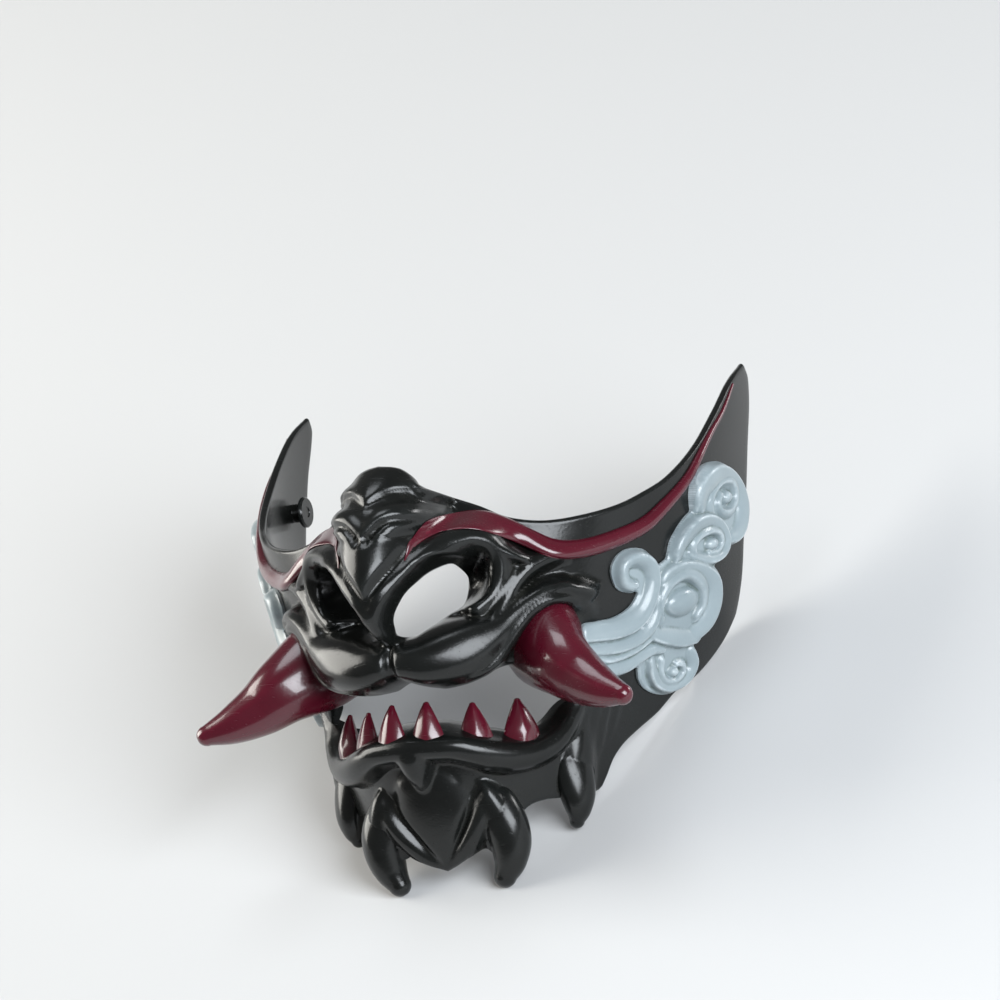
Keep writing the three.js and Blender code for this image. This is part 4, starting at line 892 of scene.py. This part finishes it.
# How much the patches and specks show, and what patches, dust and hairlines do to the gloss and peel
PATCH_SHARE, SPECK_SHARE, PATCH_GLOSS = 0.16, 0.12, (0.85, 1.2)
DUST_ROUGHNESS, HAIRLINE_ROUGHNESS, HAIRLINE_DEPTH = 0.35, 0.07, 0.5
PAINT_INPUTS = [("Color", "NodeSocketColor", (0.5, 0.5, 0.5, 1)),
                ("Rubbed Color", "NodeSocketColor", (0.7, 0.7, 0.7, 1)),
                ("Dust Color", "NodeSocketColor", (0.3, 0.3, 0.28, 1)), ("Roughness", "NodeSocketFloat", 0.3),
                ("Wear", "NodeSocketFloat", 0.5), ("Dust", "NodeSocketFloat", 0.3)]
PAINT_OUTPUTS = [("Color", "NodeSocketColor"), ("Roughness", "NodeSocketFloat"),
                 ("Height", "NodeSocketFloat")]
# The sockets of a colour Mix node: factor, first, second and the result
MIX_INPUTS, MIX_RESULT = (0, 6, 7), 2


def feed(tree, place, value):
    """Links a node's output to a socket, or sets the socket's own number or colour."""
    if isinstance(value, bpy.types.NodeSocket):
        tree.links.new(value, place)
    elif place.type == "RGBA":
        place.default_value = (*value, 1)
    else:
        place.default_value = value


def socket(tree, made, values):
    """Sets a node's inputs by name."""
    for name, value in values.items():
        feed(tree, made.inputs[name], value)


def node(tree, kind, values=None, **settings):
    """A new node with its settings and inputs."""
    made = tree.nodes.new(kind)
    for name, value in settings.items():
        setattr(made, name, value)
    socket(tree, made, values or {})
    return made


def mixed(tree, *values):
    """A colour between two: the factor and both colours are each a value or a node's output."""
    mix = node(tree, "ShaderNodeMix", data_type="RGBA")
    for place, value in zip(MIX_INPUTS, values):
        feed(tree, mix.inputs[place], value)
    return mix.outputs[MIX_RESULT]


def ranged(tree, value, low, high, to_low=0.0, to_high=1.0):
    """A value stretched from one range onto another and held at its ends."""
    return node(tree, "ShaderNodeMapRange", {"Value": value, "From Min": low, "From Max": high,
                                             "To Min": to_low, "To Max": to_high}).outputs["Result"]


def noise(tree, where, name):
    """One of the paint's noises at a place."""
    scale, detail, roughness = NOISES[name]
    return node(tree, "ShaderNodeTexNoise", {"Vector": where, "Scale": scale, "Detail": detail,
                                             "Roughness": roughness}).outputs["Fac"]


def maths(tree, operation, *values):
    """The sum, difference or product of values and nodes' outputs, taken in their order."""
    total = values[0]
    for value in values[1:]:
        made = node(tree, "ShaderNodeMath", operation=operation)
        feed(tree, made.inputs[0], total)
        feed(tree, made.inputs[1], value)
        total = made.outputs[0]
    return total


def sprayed_paint():
    """The node group that every painted finish shares: sprayed paint that turns paler and duller in broad
    patches, is paler along edges and crests as a painted highlight, takes a crease colour that is painted
    shade where darker than the paint and dust where paler, with dust dulling the gloss there, and carries
    dust specks, faint hairline scratches and keeps a fine orange peel."""
    if "Sprayed paint" in bpy.data.node_groups:
        return bpy.data.node_groups["Sprayed paint"]
    tree = bpy.data.node_groups.new("Sprayed paint", "ShaderNodeTree")
    for name, kind, default in PAINT_INPUTS:
        made = tree.interface.new_socket(name=name, in_out="INPUT", socket_type=kind)
        made.default_value = default
    for name, kind in PAINT_OUTPUTS:
        tree.interface.new_socket(name=name, in_out="OUTPUT", socket_type=kind)
    given = tree.nodes.new("NodeGroupInput").outputs
    where = node(tree, "ShaderNodeTexCoord").outputs["Object"]
    bend = node(tree, "ShaderNodeNewGeometry").outputs["Pointiness"]
    patches = noise(tree, where, "patches")
    turned = node(tree, "ShaderNodeMapping", {"Vector": where, "Rotation": HAIRLINE_TURN,
                                              "Scale": HAIRLINE_SCALE}).outputs["Vector"]
    hairlines = ranged(tree, noise(tree, turned, "hairlines"), *HAIRLINE_RANGE)
    broken = ranged(tree, noise(tree, where, "broken"), *BROKEN_RANGE)
    # Paler colour along edges and crests: a painted highlight.
    painted_edge_highlight = maths(tree, "MULTIPLY", ranged(tree, bend, *EDGE_RANGE), broken, given["Wear"])
    # Colour in creases: painted shade where it is darker than the paint, dust where it is paler; dust also
    # dulls the gloss there.
    crease_dust_and_shade = maths(tree, "MULTIPLY", ranged(tree, bend, *CREASE_RANGE), broken, given["Dust"])
    specks = ranged(tree, noise(tree, where, "specks"), *SPECK_RANGE, 0.0, SPECK_SHARE)
    tone = mixed(tree, ranged(tree, patches, *PATCH_RANGE), given["Color"], given["Rubbed Color"])
    tone = mixed(tree, PATCH_SHARE, given["Color"], tone)
    for mask, paint in ((specks, "Dust Color"), (painted_edge_highlight, "Rubbed Color"), (crease_dust_and_shade, "Dust Color")):
        tone = mixed(tree, mask, tone, given[paint])
    gloss = maths(tree, "ADD", maths(tree, "MULTIPLY", given["Roughness"],
                                     ranged(tree, patches, *PATCH_RANGE, *PATCH_GLOSS)),
                  maths(tree, "MULTIPLY", crease_dust_and_shade, DUST_ROUGHNESS),
                  maths(tree, "MULTIPLY", hairlines, HAIRLINE_ROUGHNESS))
    height = maths(tree, "SUBTRACT", noise(tree, where, "peel"),
                   maths(tree, "MULTIPLY", hairlines, HAIRLINE_DEPTH))
    socket(tree, tree.nodes.new("NodeGroupOutput"), {"Color": tone, "Roughness": gloss, "Height": height})
    return tree


def lacquer(slot):
    """One of the three finishes, sprayed paint under a clear coat, made when it is first asked for."""
    name, part, paint_values, coat_values = FINISHES[slot]
    if name in bpy.data.materials:
        return bpy.data.materials[name]
    looks = bpy.context.scene.face_guard_finish
    material = bpy.data.materials.new(name)
    material.use_nodes = True
    tree = material.node_tree
    paint = node(tree, "ShaderNodeGroup", node_tree=sprayed_paint())
    socket(tree, paint, {"Color": tuple(getattr(looks, f"{part}_colour")),
                         "Roughness": getattr(looks, f"{part}_roughness"), **paint_values})
    bump = node(tree, "ShaderNodeBump", {"Height": paint.outputs["Height"], "Strength": PEEL_STRENGTH,
                                         "Distance": PEEL_DEPTH})
    socket(tree, tree.nodes["Principled BSDF"], {
        "Base Color": paint.outputs["Color"], "Roughness": paint.outputs["Roughness"],
        "Normal": bump.outputs["Normal"], "Coat Roughness": COAT_ROUGHNESS, **coat_values})
    return material


# ---------------------------------------------------------------- pieces
def finish(piece, nodes, slot):
    """Gives a piece its finish and its place in the frame, and hides the solids it stands for."""
    piece.data.materials.clear()
    piece.data.materials.append(lacquer(slot))
    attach(piece, "root")
    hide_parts(*nodes)


class FaceGuardFinish(bpy.types.PropertyGroup):
    """Colours and gloss of the three finishes."""
    shell_colour: bpy.props.FloatVectorProperty(
        name="Shell colour", description="Black gloss paint of the moulded shell", subtype="COLOR",
        default=SHELL_COLOUR, min=0, max=1)
    shell_roughness: bpy.props.FloatProperty(
        name="Shell roughness", description="0 is a mirror", default=0.21, min=0, max=1, subtype="FACTOR")
    trim_colour: bpy.props.FloatVectorProperty(
        name="Trim colour", description="Burgundy gloss paint of the tusks, teeth and ridges",
        subtype="COLOR", default=TRIM_COLOUR, min=0, max=1)
    trim_roughness: bpy.props.FloatProperty(
        name="Trim roughness", description="0 is a mirror", default=0.25, min=0, max=1, subtype="FACTOR")
    cloud_colour: bpy.props.FloatVectorProperty(
        name="Cloud colour", description="Blue-grey paint of the scroll clouds", subtype="COLOR",
        default=CLOUD_COLOUR, min=0, max=1)
    cloud_roughness: bpy.props.FloatProperty(
        name="Cloud roughness", description="0 is a mirror", default=0.32, min=0, max=1, subtype="FACTOR")


class FaceGuardPost(bpy.types.PropertyGroup):
    """Sizes of the strap's posts."""
    stem_radius: bpy.props.FloatProperty(
        name="Stem radius", description="Radius of the post's stem", unit="LENGTH",
        default=0.003, min=0.001, max=0.006)
    head_radius: bpy.props.FloatProperty(
        name="Head radius", description="Radius of the post's head", unit="LENGTH",
        default=0.005, min=0.002, max=0.009)


class FACEGUARD_OT_shell(bpy.types.Operator):
    """Builds the moulded shell with its fangs, spikes and nostrils"""
    bl_idname = "face_guard.shell"
    bl_label = "Shell"

    def execute(self, context):
        shell = new_piece("face_shell", *shell_mesh())
        horns = []
        for rows, thickness in ((FANG, FANG_THICKNESS), (SPIKE, SPIKE_THICKNESS)):
            rings = limb_rings(rows, NOSE_RISE, thickness, thickness)
            horns += [lofted("horn", part) for part in both_sides(rings)]
        combined(shell, horns, "UNION", SHELL_SHARP_ANGLE)
        finish(shell, ["shell"], "black")
        return {"FINISHED"}


class FACEGUARD_OT_tusks(bpy.types.Operator):
    """Builds the two tusks in their sockets"""
    bl_idname = "face_guard.tusks"
    bl_label = "Tusks"

    def execute(self, context):
        rings = limb_rings(TUSK, TUSK_LENGTH, TUSK_THICKNESS, TUSK_THICKNESS, TUSK_OUT, keel=TUSK_KEEL)
        for side, part in zip(SIDES, both_sides(rings)):
            finish(lofted(f"tusk_{side}_horn", part), [f"tusk_{side}"], "burgundy")
        return {"FINISHED"}


class FACEGUARD_OT_teeth(bpy.types.Operator):
    """Builds the six teeth of the lower jaw"""
    bl_idname = "face_guard.teeth"
    bl_label = "Teeth"

    def execute(self, context):
        for i, (across, down, height, size) in enumerate(TEETH):
            rows = np.column_stack([
                np.full(len(TOOTH), across), down - TOOTH[:, 0], height + TOOTH[:, 1], TOOTH[:, 2:]])
            rings = limb_rings(rows, NOSE_RISE, TOOTH_WIDTH * size / 100, TOOTH_DEPTH * size / 100,
                               steps=TOOTH_STEPS, section=TOOTH_SECTION)
            for number, part in zip((4 + i, 3 - i), both_sides(rings)):
                finish(lofted(f"tooth_{number}_horn", part), [f"tooth_{number}"], "burgundy")
        return {"FINISHED"}


class FACEGUARD_OT_ridges(bpy.types.Operator):
    """Builds the brow ridges that lie along the top of the cheeks"""
    bl_idname = "face_guard.ridges"
    bl_label = "Brow ridges"

    def execute(self, context):
        for side, part in zip(SIDES, both_sides(ridge_rings())):
            finish(lofted(f"brow_ridge_{side}", part), [f"ridge_{side}"], "burgundy")
        return {"FINISHED"}


class FACEGUARD_OT_clouds(bpy.types.Operator):
    """Builds the scroll clouds on the wings"""
    bl_idname = "face_guard.clouds"
    bl_label = "Scroll clouds"

    def execute(self, context):
        for side, plate, edge in zip(SIDES, *map(both_sides, cloud_body())):
            cloud = block(f"scroll_cloud_{side}", plate)
            combined(cloud, [prism("edge", edge)], "INTERSECT", SHARP_ANGLE)
            finish(cloud, [f"cloud_{side}"], "cloud_grey")
        return {"FINISHED"}


# A post's sides and, in metres, its head's thickness, its small roundings, how deep its foot is sunk in
# the wing and how high the foot's flare stands, and the dimple in the head
POST_SIDES, HEAD_THICKNESS, SMALL_ROUND, HEAD_ROUND = 48, 0.0016, 0.0004, 0.0005
FOOT_SUNK, FOOT_FLARE, HEAD_DIMPLE = 0.0002, 0.0006, 0.0003
# Parts of the stem's radius: the flared foot, the neck under the head, the dimple's rim and floor
FOOT, NECK, DIMPLE_RIM, DIMPLE = 1.25, 1.12, 0.6, 0.5


def post_profile(stem, head, length):
    """Radii of a post and how far along it each is, from the foot in the wing to the flat head."""
    under = length - HEAD_THICKNESS
    return np.array([
        [stem * FOOT, -FOOT_SUNK], [stem, FOOT_FLARE], [stem, under - SMALL_ROUND], [stem * NECK, under],
        [head - SMALL_ROUND, under], [head, under + SMALL_ROUND], [head, length - HEAD_ROUND],
        [head - HEAD_ROUND, length], [stem * DIMPLE_RIM, length], [stem * DIMPLE, length - HEAD_DIMPLE]]).T


class FACEGUARD_OT_posts(bpy.types.Operator):
    """Builds the strap's posts inside the wings"""
    bl_idname = "face_guard.posts"
    bl_label = "Strap posts"

    def execute(self, context):
        sizes = context.scene.face_guard_post
        for side, mirror in zip(SIDES, (1, -1)):
            low, high = np.array(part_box(f"strap_post_{side}"))
            middle, length = (low + high) / 2, high[0] - low[0]
            radius, along = post_profile(sizes.stem_radius, sizes.head_radius, length)[..., None]
            angle = np.linspace(0, 2 * np.pi, POST_SIDES, endpoint=False)
            rings = np.stack([middle[0] + mirror * (length / 2 - along + 0 * angle),
                              middle[1] + radius * np.cos(angle), middle[2] + radius * np.sin(angle)], -1)
            finish(lofted(f"strap_post_{side}_pin", rings), [f"strap_post_{side}"], "black")
        return {"FINISHED"}


# ---------------------------------------------------------------- stage
YAW, PITCH, ROLL = math.radians(22.75), math.radians(2.3), math.radians(7.8)
# Distance and height of the camera from the face's origin in mm; its focal length and aim in pixels of
# a picture so many pixels wide, and the sensor's breadth in mm
CAMERA_DISTANCE, CAMERA_DROP = 1500.0, -4.0
FOCAL, AIM, PICTURE, SENSOR = 4932.0, (80.8, -24.9), 1000, 36.0
MASK_MIDDLE = Vector((0, 0, 0.06))
# Direction seen from the face (left, up, forward), distance, breadth and height in metres, watts, colour
LIGHTS = {
    "key light": ((0.72, 0.2, 0.62), 1.3, (0.75, 0.9), 25, (0.9, 0.95, 1.0)),
    "window light": ((-0.9, 0.3, 0.16), 1.3, (0.9, 1.2), 25, (1.0, 0.98, 0.92)),
    "rear light": ((0.7, 0.3, -0.65), 1.3, (0.4, 0.7), 9, (1.0, 1.0, 1.0)),
    "top light": ((-0.1, 0.98, 0.15), 1.4, (0.6, 0.6), 5, (0.9, 0.95, 1.0)),
}
FLOOR_HALF, FLOOR_COLOUR, FLOOR_ROUGHNESS = 6.0, (0.6, 0.6, 0.6), 0.8
FLOOR_CORNERS = np.array([[-1, -1, 0], [1, -1, 0], [1, 1, 0], [-1, 1, 0]])
WORLD_COLOUR, WORLD_STRENGTH = (1.0, 1.0, 1.0), 0.14


def camera_axes():
    """Right, up and back of the camera on the worn face: yaw, then pitch, then roll, and then its
    middle moved to the aim."""
    cy, sy, cp, sp, cr, sr = [f(a) for a in (YAW, PITCH, ROLL) for f in (math.cos, math.sin)]
    turn = (np.array([[cr, -sr, 0], [sr, cr, 0], [0, 0, 1]])
            @ np.array([[1, 0, 0], [0, cp, -sp], [0, sp, cp]])
            @ np.array([[cy, 0, -sy], [0, 1, 0], [sy, 0, cy]]))
    back = unit(np.array([-AIM[0] / FOCAL, -AIM[1] / FOCAL, 1.0]))
    right = unit(np.cross([0, 1, 0], back))
    return np.array([right, np.cross(back, right), back]) @ turn, turn


def soft_box(name, direction, distance, size, power, colour):
    """An area light in a direction from the face, turned to the mask."""
    light = bpy.data.lights.new(name, "AREA")
    light.shape = "RECTANGLE"
    light.size, light.size_y = size
    light.energy = power
    light.color = colour
    lamp = bpy.data.objects.new(name, light)
    bpy.context.scene.collection.objects.link(lamp)
    way = Vector(LEANED @ direction).normalized()
    lamp.location = MASK_MIDDLE + way * distance
    lamp.rotation_mode = "QUATERNION"
    lamp.rotation_quaternion = way.to_track_quat("Z", "Y")


class FACEGUARD_OT_stage(bpy.types.Operator):
    """Sets up the pale floor, the soft studio lights and the camera"""
    bl_idname = "face_guard.stage"
    bl_label = "Stage"

    def execute(self, context):
        scene = context.scene
        axes, turn = camera_axes()
        lens = bpy.data.cameras.new("camera")
        lens.sensor_width = SENSOR
        lens.lens = FOCAL / PICTURE * SENSOR
        camera = bpy.data.objects.new("camera", lens)
        scene.collection.objects.link(camera)
        eye = in_frame(CAMERA_DISTANCE * turn[2] + [0, CAMERA_DROP, 0])
        camera.matrix_world = Matrix.Translation(eye) @ Matrix(LEANED @ axes.T).to_4x4()
        scene.camera = camera
        ground = bpy.data.meshes.new("floor")
        ground.from_pydata((FLOOR_HALF * FLOOR_CORNERS).tolist(), [], [(0, 1, 2, 3)])
        floor = bpy.data.objects.new("floor", ground)
        scene.collection.objects.link(floor)
        pale = bpy.data.materials.new("pale floor")
        pale.use_nodes = True
        socket(pale.node_tree, pale.node_tree.nodes["Principled BSDF"],
               {"Base Color": FLOOR_COLOUR, "Roughness": FLOOR_ROUGHNESS})
        ground.materials.append(pale)
        world = bpy.data.worlds.new("studio")
        world.use_nodes = True
        socket(world.node_tree, world.node_tree.nodes["Background"],
               {"Color": WORLD_COLOUR, "Strength": WORLD_STRENGTH})
        scene.world = world
        scene.view_settings.view_transform = "Standard"
        for name, settings in LIGHTS.items():
            soft_box(name, *settings)
        return {"FINISHED"}


PIECE_OPERATORS = (FACEGUARD_OT_shell, FACEGUARD_OT_tusks, FACEGUARD_OT_teeth, FACEGUARD_OT_ridges,
                   FACEGUARD_OT_clouds, FACEGUARD_OT_posts, FACEGUARD_OT_stage)


class FACEGUARD_PT_panel(bpy.types.Panel):
    """Lists the pieces of the face guard"""
    bl_idname = "FACEGUARD_PT_panel"
    bl_label = "Face Guard"
    bl_space_type = "VIEW_3D"
    bl_region_type = "UI"
    bl_category = "Face Guard"

    def draw(self, context):
        """Shows the sizes and colours, and then a button for each piece."""
        column = self.layout.column()
        for group in (context.scene.face_guard_finish, context.scene.face_guard_post):
            for name in group.__annotations__:
                column.prop(group, name)
        for operator in PIECE_OPERATORS:
            column.operator(operator.bl_idname)


CLASSES = (FaceGuardFinish, FaceGuardPost, *PIECE_OPERATORS, FACEGUARD_PT_panel)


def register():
    """Registers the classes and hangs the sizes and colours on the scene."""
    for cls in CLASSES:
        bpy.utils.register_class(cls)
    bpy.types.Scene.face_guard_finish = bpy.props.PointerProperty(type=FaceGuardFinish)
    bpy.types.Scene.face_guard_post = bpy.props.PointerProperty(type=FaceGuardPost)


def unregister():
    """Takes the sizes, colours and classes out again."""
    del bpy.types.Scene.face_guard_post
    del bpy.types.Scene.face_guard_finish
    for cls in reversed(CLASSES):
        bpy.utils.unregister_class(cls)


def main():
    """Builds every piece and the stage."""
    register()
    bpy.ops.face_guard.shell()
    bpy.ops.face_guard.tusks()
    bpy.ops.face_guard.teeth()
    bpy.ops.face_guard.ridges()
    bpy.ops.face_guard.clouds()
    bpy.ops.face_guard.posts()
    bpy.ops.face_guard.stage()


if __name__ == "__main__":
    main()
